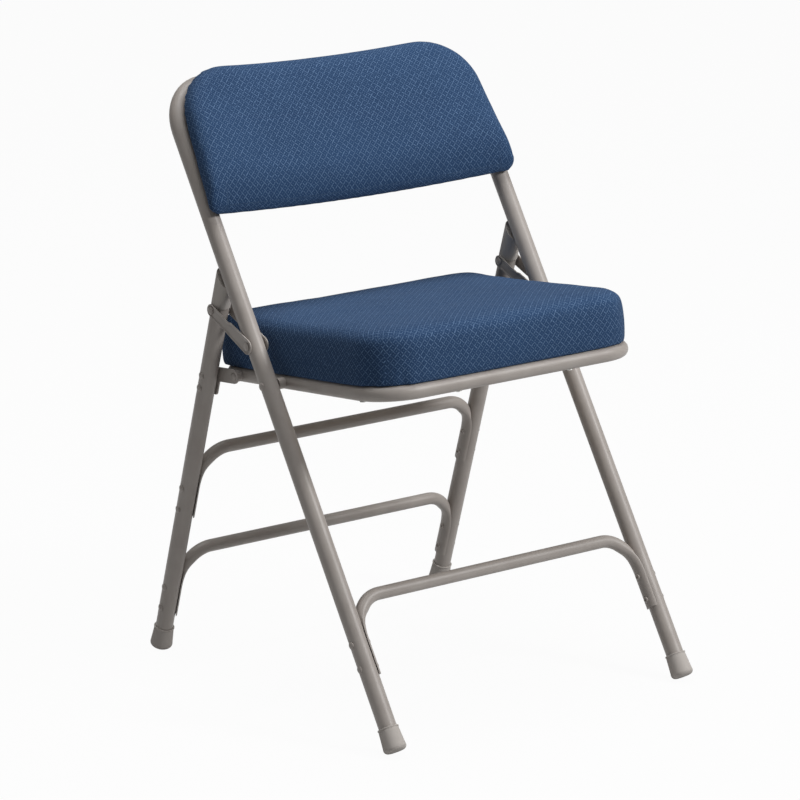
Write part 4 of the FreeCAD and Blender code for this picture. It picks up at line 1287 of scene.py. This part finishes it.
@dataclass
class BackPad(Pad):
    """The back cushion: foam on a curved board, wrapped in cloth."""

    cap: float = 4.0 * MM
    held_height: float = 4.0 * MM
    low: float = 692.0 * MM
    high: float = 889.5 * MM
    low_half_width: float = 236.5 * MM
    high_half_width: float = 219.0 * MM
    low_radius: float = 9.0 * MM
    high_radius: float = 80.0 * MM
    dip: float = 4.6 * MM
    dip_height: float = 80.0 * MM
    depth: float = 29.0 * MM
    bar_rear: float = 13.61 * MM
    bar_radius: float = 1707.7 * MM
    tube_radius: float = 11.1 * MM
    board_gap: float = 0.3 * MM
    belly: float = 1.6 * MM
    belly_height: float = 60.0 * MM
    # middle and half depth of the pulled band, where the face's unevenness starts, where its cloth turns back
    pull_middle: float = 5.0 * MM
    pull_half: float = 9.0 * MM
    soft_start: float = 10.0 * MM
    turn_drop: float = 3.0 * MM
    softness: float = 0.8 * MM
    pull: float = 0.10 * MM
    corner_pull: float = 0.40 * MM
    waves: Sequence[tuple[float, float, float]] = ((64.0, 0.0, 1.0), (107.0, 0.0, 0.5))
    # depth from the rear face, inset of sides and top, inset of the lower edge
    profile: Sequence[tuple[float, float, float]] = (
        (0.0, 30.0, 30.0), (0.0, 7.0, 7.0), (0.8, 3.6, 3.6), (3.0, 1.2, 1.2), (7.0, 0.4, 0.0),
        (12.0, 0.8, 4.6), (17.0, 2.6, 12.0), (21.0, 5.4, 21.5), (24.0, 9.4, 31.0), (26.2, 15.0, 41.0),
        (27.3, 23.0, 51.0), (27.8, 34.0, 61.0), (28.4, 50.0, 71.0), (28.8, 70.0, 81.0))

    def block(self) -> bpy.types.Object:
        """The pad's mesh, flat: X across, Y up the back, Z from its rear face to its front.

        Returns:
            The closed mesh.
        """
        rings = []
        for depth, sides, lower in self.profile:
            sides, lower = sides * MM, lower * MM
            low, high = self.low + lower, self.high - sides
            low_half, high_half = self.low_half_width - sides, self.high_half_width - sides
            corners = [(-low_half, low), (low_half, low), (high_half, high), (-high_half, high)]
            radii = [max(self.low_radius - sides * 0.5, 6 * MM)] * 2 \
                + [max(self.high_radius - sides, 10 * MM)] * 2
            rings.append(raised(rounded_outline(corners, radii), depth * MM))
        return rings_mesh("back_cushion", rings)

    def bend(self, points: np.ndarray) -> np.ndarray:
        """Takes the flat pad to the front frame, bent to the curve of the top bar.

        Args:
            points: flat places.

        Returns:
            Places in the front frame.
        """
        radius = self.bar_radius - self.tube_radius - self.board_gap
        rear = self.bar_rear - self.bar_radius + np.sqrt(radius ** 2 - points[:, 0] ** 2)
        sag = 1.0 - np.clip((points[:, 1] - self.low) / self.belly_height, 0.0, 1.0)
        middle = np.maximum(1.0 - (points[:, 0] / self.low_half_width) ** 2, 0.0)
        lift = 1.0 - np.clip((self.high - points[:, 1]) / self.dip_height, 0.0, 1.0)
        drop = middle * (self.belly * sag + self.dip * lift)
        return np.column_stack([points[:, 0], rear - points[:, 2], points[:, 1] - drop])

    def edge_direction(self, points: np.ndarray) -> np.ndarray:
        """Direction from the pad's core out to each point, in its flat plane.

        Args:
            points: flat places.

        Returns:
            Unit directions.
        """
        middle = (self.low + self.high) / 2
        radius = np.where(points[:, 1] > middle, self.high_radius, self.low_radius)
        reach = (self.high - self.low) / 2 - radius
        across = np.maximum(np.abs(points[:, 0]) - self.high_half_width + radius, 0)
        up = np.maximum(np.abs(points[:, 1] - middle) - reach, 0)
        away = np.column_stack([np.sign(points[:, 0]) * across, np.sign(points[:, 1] - middle) * up])
        return unit_rows(away)

    def soften(self, points: np.ndarray) -> np.ndarray:
        """Slight unevenness of the foam and pulls of the cloth over the board's edge.

        Args:
            points: flat places.

        Returns:
            The softened places.
        """
        softened = points.copy()
        out = self.edge_direction(points)
        rear = np.clip(1.0 - np.abs(points[:, 2] - self.pull_middle) / self.pull_half, 0.0, 1.0)
        turn = np.arctan2(points[:, 1] - (self.low + self.high) / 2, points[:, 0] * 0.5)
        softened[:, :2] -= out * (self.edge_pulls(turn, out) * rear)[:, None]
        soft = self.unevenness(points, 11.0, 41.0, 0.4)
        softened[:, 2] += soft * self.softness * (points[:, 2] > self.soft_start)
        softened[:, 2] = np.maximum(softened[:, 2], 0.0)
        return softened

    def build(self) -> bpy.types.Object:
        """Builds, blows up, bends and places the pad.

        Returns:
            The finished piece.
        """
        piece = self.block()
        self.remesh(piece)
        self.inflate(piece, vertex_places(piece)[:, 2] < self.held_height)
        self.refine(piece)
        points = self.soften(vertex_places(piece))
        drop = np.maximum(self.depth - self.turn_drop - points[:, 2], 0.0)[:, None]
        self.lay_cloth(piece, points[:, :2] + self.edge_direction(points) * drop)
        move_vertices(piece, self.stance.front().placed(self.bend(points)))
        shade_smooth(piece)
        face_outwards(piece)
        dress(piece, Finish.CLOTH)
        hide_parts("back_cover", "back_foam", "back_panel")
        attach(piece, "front_frame")
        return piece


# ---------------------------------------------------------------- metal pieces

@dataclass
class Links:
    """Pressed link plates, two on each side, with a rolled rim and a joggle half way."""

    stance: Stance
    front_radius: float = 9.5 * MM
    rear_radius: float = 7.8 * MM
    shoulder: float = 8.4 * MM
    waist: float = 7.0 * MM
    joggle: float = 42.0 * MM
    joggle_half: float = 3.0 * MM
    front_offset: float = 11.5 * MM
    rear_offset: float = 12.4 * MM
    thickness: float = 1.8 * MM
    rim: float = 1.3 * MM
    recess: float = 0.8 * MM
    bevel: float = 0.35 * MM
    back_inset: float = 3.0 * MM
    floor_inset: float = 4.0 * MM
    side_steps: int = 40
    end_steps: int = 18

    def half_width(self, along: float, length: float) -> float:
        """Half width of the plate between its two end rounds.

        Args:
            along: distance from the front pivot.
            length: pivot to pivot.

        Returns:
            Half the plate's width there.
        """
        step = smooth_step((along - self.joggle) / (2 * self.joggle_half) + 0.5)
        front = self.front_radius - (self.front_radius - self.shoulder) * along / self.joggle
        tail = (along - self.joggle) / (length - self.joggle)
        rear = self.waist + (self.rear_radius - self.waist) * max(tail, 0.0)
        return front * (1 - step) + rear * step

    def outline(self, length: float) -> np.ndarray:
        """The plate's outline, anticlockwise from below the front pivot.

        Args:
            length: pivot to pivot.

        Returns:
            One row of two numbers for each point.
        """
        points = []
        for index in range(1, self.side_steps):
            along = length * index / self.side_steps
            points.append((along, -self.half_width(along, length)))
        for index in range(self.end_steps + 1):
            angle = -math.pi / 2 + math.pi * index / self.end_steps
            points.append((length + self.rear_radius * math.cos(angle), self.rear_radius * math.sin(angle)))
        for index in range(self.side_steps - 1, 0, -1):
            along = length * index / self.side_steps
            points.append((along, self.half_width(along, length)))
        for index in range(self.end_steps + 1):
            angle = math.pi / 2 + math.pi * index / self.end_steps
            points.append((self.front_radius * math.cos(angle), self.front_radius * math.sin(angle)))
        return np.array(points)

    def inset(self, outline: np.ndarray, distance: float) -> np.ndarray:
        """The outline moved inwards by a distance."""
        ahead = unit_rows(np.roll(outline, -1, axis=0) - np.roll(outline, 1, axis=0))
        return outline + np.column_stack([-ahead[:, 1], ahead[:, 0]]) * distance

    def plate(self, name: str, side: float, facing: float) -> bpy.types.Object:
        """One plate in place.

        Args:
            name: piece name.
            side: left or right side of the chair.
            facing: 1 for the plate outside the legs and -1 for the one inside.

        Returns:
            The piece.
        """
        start, end = self.stance.link_front_pivot(), self.stance.link_rear_pivot()
        span = end - start
        length = span.length
        frame_of_link = LeaningFrame(start, math.degrees(math.atan2(span.z, span.y)))
        outline = self.outline(length)
        bevel, face, floor = self.bevel, self.thickness, self.thickness - self.recess
        layers = [(self.back_inset, 0.0), (bevel, 0.0), (0.0, bevel), (0.0, face - bevel), (bevel, face),
                  (self.rim, face), (self.rim + self.recess, floor), (self.floor_inset, floor)]
        rings = []
        for distance, height in layers:
            ring = self.inset(outline, distance)
            step = smooth_step((ring[:, 0] - self.joggle) / (2 * self.joggle_half) + 0.5)
            offset = self.front_offset + (self.rear_offset - self.front_offset) * step
            x = side * (self.stance.leg_half_width + facing * (offset + height))
            rings.append(np.column_stack([x, ring]))
        piece = rings_mesh(name, rings)
        move_vertices(piece, frame_of_link.placed(vertex_places(piece)))
        shade_smooth(piece, math.radians(50))
        dress(piece, Finish.PAINT)
        return piece

    def build(self) -> list[bpy.types.Object]:
        """Builds the four plates, each for its CAD node.

        Returns:
            The pieces.
        """
        made = []
        for side_name, side in SIDES.items():
            for layer, facing in (("outer", 1.0), ("inner", -1.0)):
                node = f"{side_name}_{layer}_link"
                piece = self.plate(f"{node}_pressing", side, facing)
                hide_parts(node)
                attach(piece, f"{side_name}_links")
                made.append(piece)
        return made


class RivetEnd(Enum):
    """The two ends of a semi-tubular rivet."""

    HEAD = "head"
    TAIL = "tail"


@dataclass
class Rivets:
    """Painted rivets, set where the CAD rivets are, one mesh for each body."""

    stance: Stance
    saddle_face: float
    head_diameter: float = 9.0 * MM
    head_height: float = 1.9 * MM
    tail_diameter: float = 7.6 * MM
    tail_height: float = 1.3 * MM
    pivot_diameter: float = 10.0 * MM
    pivot_height: float = 1.5 * MM
    # CAD nodes of each body's small rivets and of its pivot rivets
    small: dict[str, Sequence[str]] = field(default_factory=lambda: {
        "front_frame": ("front_brace_rivets",), "rear_legs": ("rear_brace_rivets", "bracket_rivets")})
    pivots: dict[str, Sequence[str]] = field(default_factory=lambda: {
        "seat": ("front_pivot_rivets", "rear_pivot_rivets"),
        "left_links": ("left_link_front_rivet", "left_link_rear_rivets"),
        "right_links": ("right_link_front_rivet", "right_link_rear_rivets")})

    def ends(self, node: str, end: RivetEnd, height: float) -> list[tuple[Vector, Vector]]:
        """Seat and outward axis of one end of each rivet in a node.

        Args:
            node: the node's name.
            end: head or tail; heads face out of the chair, save on the short rivets inside its legs.
            height: how far the CAD end stands proud.

        Returns:
            Places and directions.
        """
        seats = []
        for rows in islands_of(node):
            low, high = Vector(rows.min(axis=0)), Vector(rows.max(axis=0))
            middle = (low + high) / 2
            side = RIGHT if middle.x > 0 else LEFT
            is_turned = "link_rear" in node and abs(middle.x) < self.stance.leg_half_width
            way = side if (end is RivetEnd.HEAD) != is_turned else -side
            x = (high.x if way > 0 else low.x) - way * height
            if end is RivetEnd.TAIL and "brace" in node:
                x = side * self.saddle_face
            seats.append((Vector((x, middle.y, middle.z)), Vector((way, 0, 0))))
        return seats

    def finish(self, piece: bpy.types.Object, body: str, nodes: Sequence[str] = ()) -> bpy.types.Object:
        """Hides the CAD nodes that a grown piece stands for and hangs the piece on its body.

        Args:
            piece: the piece.
            body: the body that it rides on.
            nodes: the CAD nodes that it stands for.

        Returns:
            The same piece.
        """
        if nodes:
            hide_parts(*nodes)
        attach(piece, body)
        return piece

    def build(self) -> list[bpy.types.Object]:
        """Grows the heads and tails of every body.

        Returns:
            The pieces.
        """
        heads, tails = rivet_head_tree(), rivet_tail_tree()
        made = []
        small_sizes = {"Head Diameter": self.head_diameter, "Head Height": self.head_height}
        pivot_sizes = {"Head Diameter": self.pivot_diameter, "Head Height": self.pivot_height}
        tail_sizes = {"Tail Diameter": self.tail_diameter, "Tail Height": self.tail_height}
        for bodies, sizes, height in ((self.small, small_sizes, self.head_height),
                                      (self.pivots, pivot_sizes, self.pivot_height)):
            for body, nodes in bodies.items():
                seats = [seat for node in nodes for seat in self.ends(node, RivetEnd.HEAD, height)]
                tail_seats = [seat for node in nodes if "link_rear" not in node
                              for seat in self.ends(node, RivetEnd.TAIL, self.tail_height)]
                made.append(self.finish(heads.grow(points_piece(f"{body}_rivet_heads", seats), sizes),
                                        body, nodes))
                made.append(self.finish(tails.grow(points_piece(f"{body}_rivet_tails", tail_seats),
                                                   tail_sizes), body))
        return made


@dataclass
class Screws:
    """Plated pan-head screws under the seat ring and behind the back's tube."""

    stance: Stance
    head_diameter: float = 8.0 * MM
    head_height: float = 1.3 * MM
    cad_head_height: float = 2.2 * MM

    def build(self) -> list[bpy.types.Object]:
        """Grows the heads of both sets.

        Returns:
            The pieces.
        """
        heads = screw_head_tree()
        made = []
        for node, leaning, way, body in (
                ("seat_screws", self.stance.seat(), np.array([0.0, 0.0, -1.0]), "seat"),
                ("back_screws", self.stance.front(), np.array([0.0, 1.0, 0.0]), "front_frame")):
            seats = []
            for rows in islands_of(node):
                local = leaning.local(rows)
                middle = (local.min(axis=0) + local.max(axis=0)) / 2
                reach = (local @ way).max() - self.cad_head_height
                seat = middle * (1 - np.abs(way)) + way * reach
                seats.append((leaning.point(seat), leaning.way(way)))
            piece = points_piece(f"{node}_heads", seats)
            heads.grow(piece, {"Head Diameter": self.head_diameter, "Head Height": self.head_height})
            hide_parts(node)
            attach(piece, body)
            made.append(piece)
        return made


@dataclass
class SeatBoard:
    """The plywood board on which the seat cushion is upholstered."""

    pad: SeatPad
    inset: float = 13.0 * MM
    top: float = 15.7 * MM
    edge: float = 1.0 * MM
    reveal: float = 0.1 * MM

    def build(self) -> bpy.types.Object:
        """Builds the board, a little smaller than the cushion.

        Returns:
            The piece.
        """
        low = self.pad.floor - self.reveal
        layers = ((self.inset + self.edge, low), (self.inset, low + self.edge),
                  (self.inset, self.top - self.edge), (self.inset + self.edge, self.top))
        rings = [raised(self.pad.outline(inset), height) for inset, height in layers]
        piece = rings_mesh("seat_board", rings)
        move_vertices(piece, self.pad.stance.seat().placed(vertex_places(piece)))
        dress(piece, Finish.PLY)
        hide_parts("seat_panel")
        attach(piece, "seat")
        return piece


@dataclass
class Braces:
    """Cross braces of thin tube, whose ends are pressed into saddles that hug the legs."""

    stance: Stance
    tube_radius: float = 7.95 * MM
    bend_radius: float = 38.0 * MM
    leg_radius: float = 11.1 * MM
    saddle_gap: float = 0.2 * MM
    saddle_thickness: float = 2.7 * MM
    saddle_half_turn: float = math.radians(54.0)
    press_start: float = 30.0 * MM
    pressing: float = 12.0 * MM
    straight: float = 30.0 * MM
    segments: int = 40
    bend_steps: int = 24
    # where each brace's bar and ends lie along its legs
    reaches: dict[str, tuple[float, float]] = field(default_factory=lambda: {
        "front_brace": (196.7 * MM, 101.0 * MM), "lower_rear_brace": (143.9 * MM, 52.0 * MM),
        "upper_rear_brace": (292.0 * MM, 199.5 * MM)})

    def saddle_face(self) -> float:
        """Distance of the saddles' inner face from the middle of the chair."""
        return self.stance.leg_half_width - self.leg_radius - self.saddle_gap - self.saddle_thickness

    def round_ring(self, centre: np.ndarray, outboard: np.ndarray) -> np.ndarray:
        """Round section.

        Args:
            centre: the section's middle.
            outboard: unit direction, across the brace's path and away from its bend's centre.

        Returns:
            The section's points, from the outboard one round by way of +Y.
        """
        turn = np.arange(self.segments) * 2 * math.pi / self.segments
        return centre + self.tube_radius * (np.cos(turn)[:, None] * outboard
                                            + np.sin(turn)[:, None] * np.array([0.0, 1.0, 0.0]))

    def saddle_ring(self, side: float, height: float) -> np.ndarray:
        """Pressed section round the leg's inner side, its points in the same order as the round one's.

        Args:
            side: left or right side of the chair.
            height: how far up the leg.

        Returns:
            The section's points.
        """
        turn = np.arange(self.segments) * 2 * math.pi / self.segments
        facing = np.sign(np.cos(turn)) * np.abs(np.cos(turn)) ** 0.45
        middle = self.leg_radius + self.saddle_gap + self.saddle_thickness / 2
        radius = middle - facing * self.saddle_thickness / 2
        folded = np.where(turn <= math.pi, turn, turn - 2 * math.pi)
        folded = np.where(np.abs(folded) > math.pi / 2, np.sign(folded) * math.pi - folded, folded)
        around = folded / (math.pi / 2) * self.saddle_half_turn
        return np.column_stack([side * (self.stance.leg_half_width - radius * np.cos(around)),
                                radius * np.sin(around), np.full(self.segments, height)])

    def end_rings(self, side: float, half_width: float, reach: float, end: float) -> list[np.ndarray]:
        """Sections of one pressed end and its bend, from the end up to the bar.

        Args:
            side: left or right side of the chair.
            half_width: distance of the pressed end's middle line from the middle of the chair.
            reach: where the bar lies along the legs.
            end: where the pressed end stops along the legs.

        Returns:
            The sections, in order.
        """
        bend_low = reach - self.bend_radius
        below = np.linspace(0.0, -self.pressing, 10)
        stations = [(0.0, height) for height in (end - bend_low, -self.straight, *below[::-1])]
        stations += [(math.pi / 2 * step / self.bend_steps, 0.0) for step in range(1, self.bend_steps + 1)]
        pivot = np.array([side * (half_width - self.bend_radius), 0.0, bend_low])
        rings = []
        for angle, drop in stations:
            way = np.array([side * math.cos(angle), 0.0, math.sin(angle)])
            centre = pivot + self.bend_radius * way + np.array([0.0, 0.0, drop])
            run = drop + self.bend_radius * angle
            share = smooth_step((self.press_start - run) / (self.press_start + self.pressing))
            rings.append((1 - share) * self.round_ring(centre, way)
                         + share * self.saddle_ring(side, centre[2]))
        return rings

    def brace(self, node: str, leg: LeaningFrame) -> bpy.types.Object:
        """One brace in place of its CAD node.

        Args:
            node: the CAD node.
            leg: the frame of the legs that it joins.

        Returns:
            The piece.
        """
        reach, end = self.reaches[node]
        half_width = self.saddle_face() + self.saddle_thickness / 2
        left, right = (self.end_rings(side, half_width, reach, end) for side in (LEFT, RIGHT))
        piece = rings_mesh(f"{node}_tube", left + right[::-1])
        move_vertices(piece, leg.placed(vertex_places(piece)))
        shade_smooth(piece, math.radians(55))
        dress(piece, Finish.PAINT)
        return piece

    def build(self) -> list[bpy.types.Object]:
        """Builds the three braces.

        Returns:
            The pieces.
        """
        made = []
        for node in self.reaches:
            is_front = node.startswith("front")
            piece = self.brace(node, self.stance.front() if is_front else self.stance.rear())
            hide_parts(node)
            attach(piece, "front_frame" if is_front else "rear_legs")
            made.append(piece)
        return made


@dataclass
class Feet:
    """Rubber boots on the four legs: a flared side, a rounded tread and a lip at the top."""

    stance: Stance
    top_radius: float = 12.8 * MM
    tread_radius: float = 14.25 * MM
    edge: float = 5.0 * MM
    length: float = 30.0 * MM
    bore: float = 11.2 * MM
    sole: float = 4.5 * MM
    lip_rise: float = 0.35 * MM
    lip_height: float = 2.0 * MM
    segments: int = 64

    def profile(self) -> list[tuple[float, float]]:
        """Radius and height of the boot's outline, from the tread's middle round to the bore's floor.

        Returns:
            Radius and height of each point.
        """
        flat = self.tread_radius - self.edge
        points = [(0.0, 0.0), (flat * 0.5, 0.0), (flat, 0.0)]
        for step in range(1, 9):
            angle = math.pi / 2 * step / 8
            points.append((flat + self.edge * math.sin(angle), self.edge * (1 - math.cos(angle))))
        neck, lip = self.top_radius - self.lip_rise, self.top_radius + self.lip_rise
        shoulder = self.length - self.lip_height
        for share in (0.15, 0.3, 0.5, 0.7, 0.85, 0.95):
            radius = self.tread_radius + (neck - self.tread_radius) * share ** 0.9
            points.append((radius, self.edge + (shoulder - self.edge) * share))
        points += [(neck, shoulder), (lip - 0.2 * MM, shoulder + 0.3 * MM),
                   (lip, shoulder + 0.8 * MM), (lip, self.length - 0.7 * MM),
                   (lip - 0.5 * MM, self.length - 0.1 * MM), (self.bore + 0.4 * MM, self.length),
                   (self.bore, self.length - 0.5 * MM), (self.bore, self.sole), (0.0, self.sole)]
        return points

    def start(self, lean_degrees: float) -> float:
        """How far up a leg's axis its tread lies when the rounded edge touches the floor.

        Args:
            lean_degrees: the leg's lean.

        Returns:
            The distance in metres.
        """
        lean = math.radians(lean_degrees)
        flat = self.tread_radius - self.edge
        return (flat * math.sin(lean) + self.edge * (1 - math.cos(lean))) / math.cos(lean)

    def boot(self, name: str, side: float, leg: LeaningFrame) -> bpy.types.Object:
        """One boot in place.

        Args:
            name: piece name.
            side: left or right.
            leg: the leg's frame.

        Returns:
            The piece.
        """
        profile = self.profile()
        base = self.start(abs(leg.lean_degrees))
        rings = []
        for radius, height in profile[1:-1]:
            angles = np.arange(self.segments) * 2 * math.pi / self.segments
            rings.append(np.column_stack([side * self.stance.leg_half_width + radius * np.cos(angles),
                                          radius * np.sin(angles),
                                          np.full(self.segments, base + height)]))
        piece = rings_mesh(name, rings)
        move_vertices(piece, leg.placed(vertex_places(piece)))
        shade_smooth(piece, math.radians(40))
        dress(piece, Finish.RUBBER)
        return piece

    def build(self) -> list[bpy.types.Object]:
        """Builds all four boots.

        Returns:
            The pieces.
        """
        made = []
        for where, leg, body in (("front", self.stance.front(), "front_frame"),
                                 ("rear", self.stance.rear(), "rear_legs")):
            for side_name, side in SIDES.items():
                node = f"{side_name}_{where}_foot"
                piece = self.boot(f"{node}_boot", side, leg)
                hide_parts(node)
                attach(piece, body)
                made.append(piece)
        return made


@dataclass
class SteelFrame:
    """The tubes, brackets, bushes and small parts that keep their CAD shape and get a finish."""

    plastic: str = "leg_cap"

    def build(self) -> list[bpy.types.Object]:
        """Dresses every CAD node that is still shown.

        Returns:
            The dressed nodes.
        """
        shown = [node for node in frame["nodes"].values() if not node.hide_render]
        for node in shown:
            dress(node, Finish.PLASTIC if self.plastic in node.name else Finish.PAINT)
        return shown


@dataclass
class BackLining:
    """Cloth panel over the back's rear face, sewn down all round."""

    pad: BackPad
    margin: float = 13.0 * MM
    stitch_margin: float = 17.0 * MM
    low_inset: float = 14.0 * MM
    high_inset: float = 8.0 * MM
    low_radius: float = 14.0 * MM
    high_radius: float = 58.0 * MM
    stitch_pitch: float = 4.6 * MM
    stitch_length: float = 3.2 * MM
    thickness: float = 1.2 * MM
    columns: int = 48

    def outline(self, margin: float) -> np.ndarray:
        """Rounded outline of the panel, inset from the pad's.

        Args:
            margin: how far inside the pad's outline.

        Returns:
            One row of two numbers for each point.
        """
        pad = self.pad
        low, high = pad.low + margin, pad.high - margin
        low_half = pad.low_half_width - margin - self.low_inset
        high_half = pad.high_half_width - margin - self.high_inset
        corners = [(-low_half, low), (low_half, low), (high_half, high), (-high_half, high)]
        return rounded_outline(corners, [self.low_radius] * 2 + [self.high_radius] * 2, 10)

    def build(self) -> list[bpy.types.Object]:
        """Builds the panel and its stitches.

        Returns:
            The pieces.
        """
        front = self.pad.stance.front()
        layers = [(12 * MM, 0.4 * MM), (0.0, 0.4 * MM), (-0.2 * MM, -0.2 * MM), (0.6 * MM, -0.9 * MM),
                  (4 * MM, -self.thickness)]
        rings = [raised(self.outline(self.margin + inset), depth) for inset, depth in layers]
        panel = rings_mesh("back_lining", rings)
        shape = bmesh.new()
        shape.from_mesh(panel.data)
        for index in range(1, self.columns):
            x = (index / self.columns - 0.5) * 2 * self.pad.low_half_width
            whole = shape.verts[:] + shape.edges[:] + shape.faces[:]
            bmesh.ops.bisect_plane(shape, geom=whole, plane_co=(x, 0, 0), plane_no=(1, 0, 0))
        shape.to_mesh(panel.data)
        shape.free()
        flat = vertex_places(panel)
        self.pad.lay_cloth(panel, flat[:, :2])
        move_vertices(panel, front.placed(self.pad.bend(flat)))
        shade_smooth(panel, math.radians(60))
        dress(panel, Finish.CLOTH)
        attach(panel, "front_frame")
        line = self.outline(self.stitch_margin)
        places = raised(line, -self.thickness - 0.1 * MM)
        count = len(line)
        edges = [(index, (index + 1) % count) for index in range(count)]
        seam = new_piece("back_lining_stitches", front.placed(self.pad.bend(places)), [], edges)
        stitch_tree().grow(seam, {"Stitch Pitch": self.stitch_pitch, "Stitch Length": self.stitch_length})
        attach(seam, "front_frame")
        return [panel, seam]


# ---------------------------------------------------------------- studio

@dataclass
class Studio:
    """Floor, soft lamps, world and camera."""

    camera_place: Sequence[float] = (-2.7337, -3.6254, 1.5534)
    camera_right: Sequence[float] = (0.7959, -0.6054, 0.0)
    camera_up: Sequence[float] = (0.1498, 0.1970, 0.9689)
    lens: float = 170.16
    shift: tuple[float, float] = (-0.0413, -0.0474)
    white: Colour = (1.0, 1.0, 1.0)
    paper: Colour = (0.48, 0.48, 0.48)
    floor_half: float = 30.0
    floor_height: float = -0.5 * MM
    floor_white: float = 0.96
    world_light: float = 0.18
    # name, place, size and power of each area lamp; all point at the seat
    lamps: Sequence[tuple[str, Sequence[float], float, float]] = (
        ("key", (1.75, -2.75, 2.75), 1.1, 114.0), ("top", (0.1, 0.2, 3.6), 2.0, 78.0))
    aim: Sequence[float] = (0.0, 0.0, 0.42)

    def camera(self) -> None:
        """The view of the chair from its front left."""
        data = bpy.data.cameras.new("view")
        data.lens, data.sensor_width = self.lens, 36.0
        data.shift_x, data.shift_y = self.shift
        made = bpy.data.objects.new("view", data)
        right, up = Vector(self.camera_right).normalized(), Vector(self.camera_up).normalized()
        back = right.cross(up)
        turn = Matrix((right, up, back)).transposed()
        made.matrix_world = Matrix.Translation(self.camera_place) @ turn.to_4x4()
        bpy.context.scene.collection.objects.link(made)
        bpy.context.scene.camera = made

    def seen_white(self, nodes: Nodes, surface: bpy.types.NodeSocket, share: float) -> bpy.types.NodeSocket:
        """Shows a surface as white to the camera and in reflections.

        Args:
            nodes: the material's tree.
            surface: the shader that light meets.
            share: how much of the white the camera sees.

        Returns:
            The mixed shader.
        """
        path = nodes.node("ShaderNodeLightPath")
        seen = Value(nodes, path.outputs["Is Camera Ray"]).most(Value(nodes, path.outputs["Is Glossy Ray"]))
        seen = seen.most(Value(nodes, path.outputs["Is Transmission Ray"])) * share
        glow = nodes.node("ShaderNodeEmission", {}, {"Color": (*self.white, 1.0), "Strength": 1.0})
        return nodes.node("ShaderNodeMixShader", {}, {0: seen, 1: surface, 2: glow.outputs[0]}).outputs[0]

    def floor(self) -> None:
        """A plain pale floor that keeps a soft shadow."""
        corners = np.array([(x * self.floor_half, y * self.floor_half, self.floor_height)
                            for x, y in ((-1, -1), (1, -1), (1, 1), (-1, 1))])
        made = new_piece("floor", corners, [(0, 1, 2, 3)])
        nodes = Nodes("floor_paper")
        matt = nodes.node("ShaderNodeBsdfDiffuse", {}, {"Color": (*self.paper, 1.0)})
        surface = self.seen_white(nodes, matt.outputs[0], self.floor_white)
        nodes.node("ShaderNodeOutputMaterial", {}, {"Surface": surface})
        made.data.materials.append(nodes.material)

    def world(self) -> None:
        """Even white surroundings."""
        world = bpy.data.worlds.new("surroundings")
        world.use_nodes = True
        tree = world.node_tree
        background = tree.nodes["Background"]
        background.inputs["Color"].default_value = (1.0, 1.0, 1.0, 1.0)
        path = tree.nodes.new("ShaderNodeLightPath")
        level = tree.nodes.new("ShaderNodeMapRange")
        level.inputs["To Min"].default_value = self.world_light
        level.inputs["To Max"].default_value = 1.0
        tree.links.new(path.outputs["Is Camera Ray"], level.inputs["Value"])
        tree.links.new(level.outputs[0], background.inputs["Strength"])
        bpy.context.scene.world = world

    def lights(self) -> None:
        """The soft lamps."""
        for name, place, size, power in self.lamps:
            data = bpy.data.lights.new(name, "AREA")
            data.shape, data.size, data.energy = "DISK", size, power
            made = bpy.data.objects.new(name, data)
            made.location = place
            made.rotation_euler = (Vector(place) - Vector(self.aim)).to_track_quat("Z", "Y").to_euler()
            bpy.context.scene.collection.objects.link(made)

    def build(self) -> None:
        """Sets the whole studio up."""
        bpy.context.scene.view_settings.view_transform = "Standard"
        self.camera()
        self.floor()
        self.world()
        self.lights()


def report(pieces: Union[bpy.types.Object, Sequence[bpy.types.Object]]) -> None:
    """Logs each piece with its face count."""
    for piece in pieces if isinstance(pieces, list) else [pieces]:
        LOG.info("%s: %d faces", piece.name, len(piece.data.polygons))


def main() -> None:
    """Builds the chair's looks in order."""
    logging.basicConfig(level=logging.INFO, format="%(name)s: %(message)s")
    stance = Stance()
    Studio().build()
    seat, back, braces = SeatPad(stance), BackPad(stance), Braces(stance)
    for part in (seat, SeatBoard(seat), back, BackLining(back), Links(stance), braces,
                 Rivets(stance, braces.saddle_face()), Screws(stance), Feet(stance), SteelFrame()):
        report(part.build())


if __name__ == "__main__":
    main()
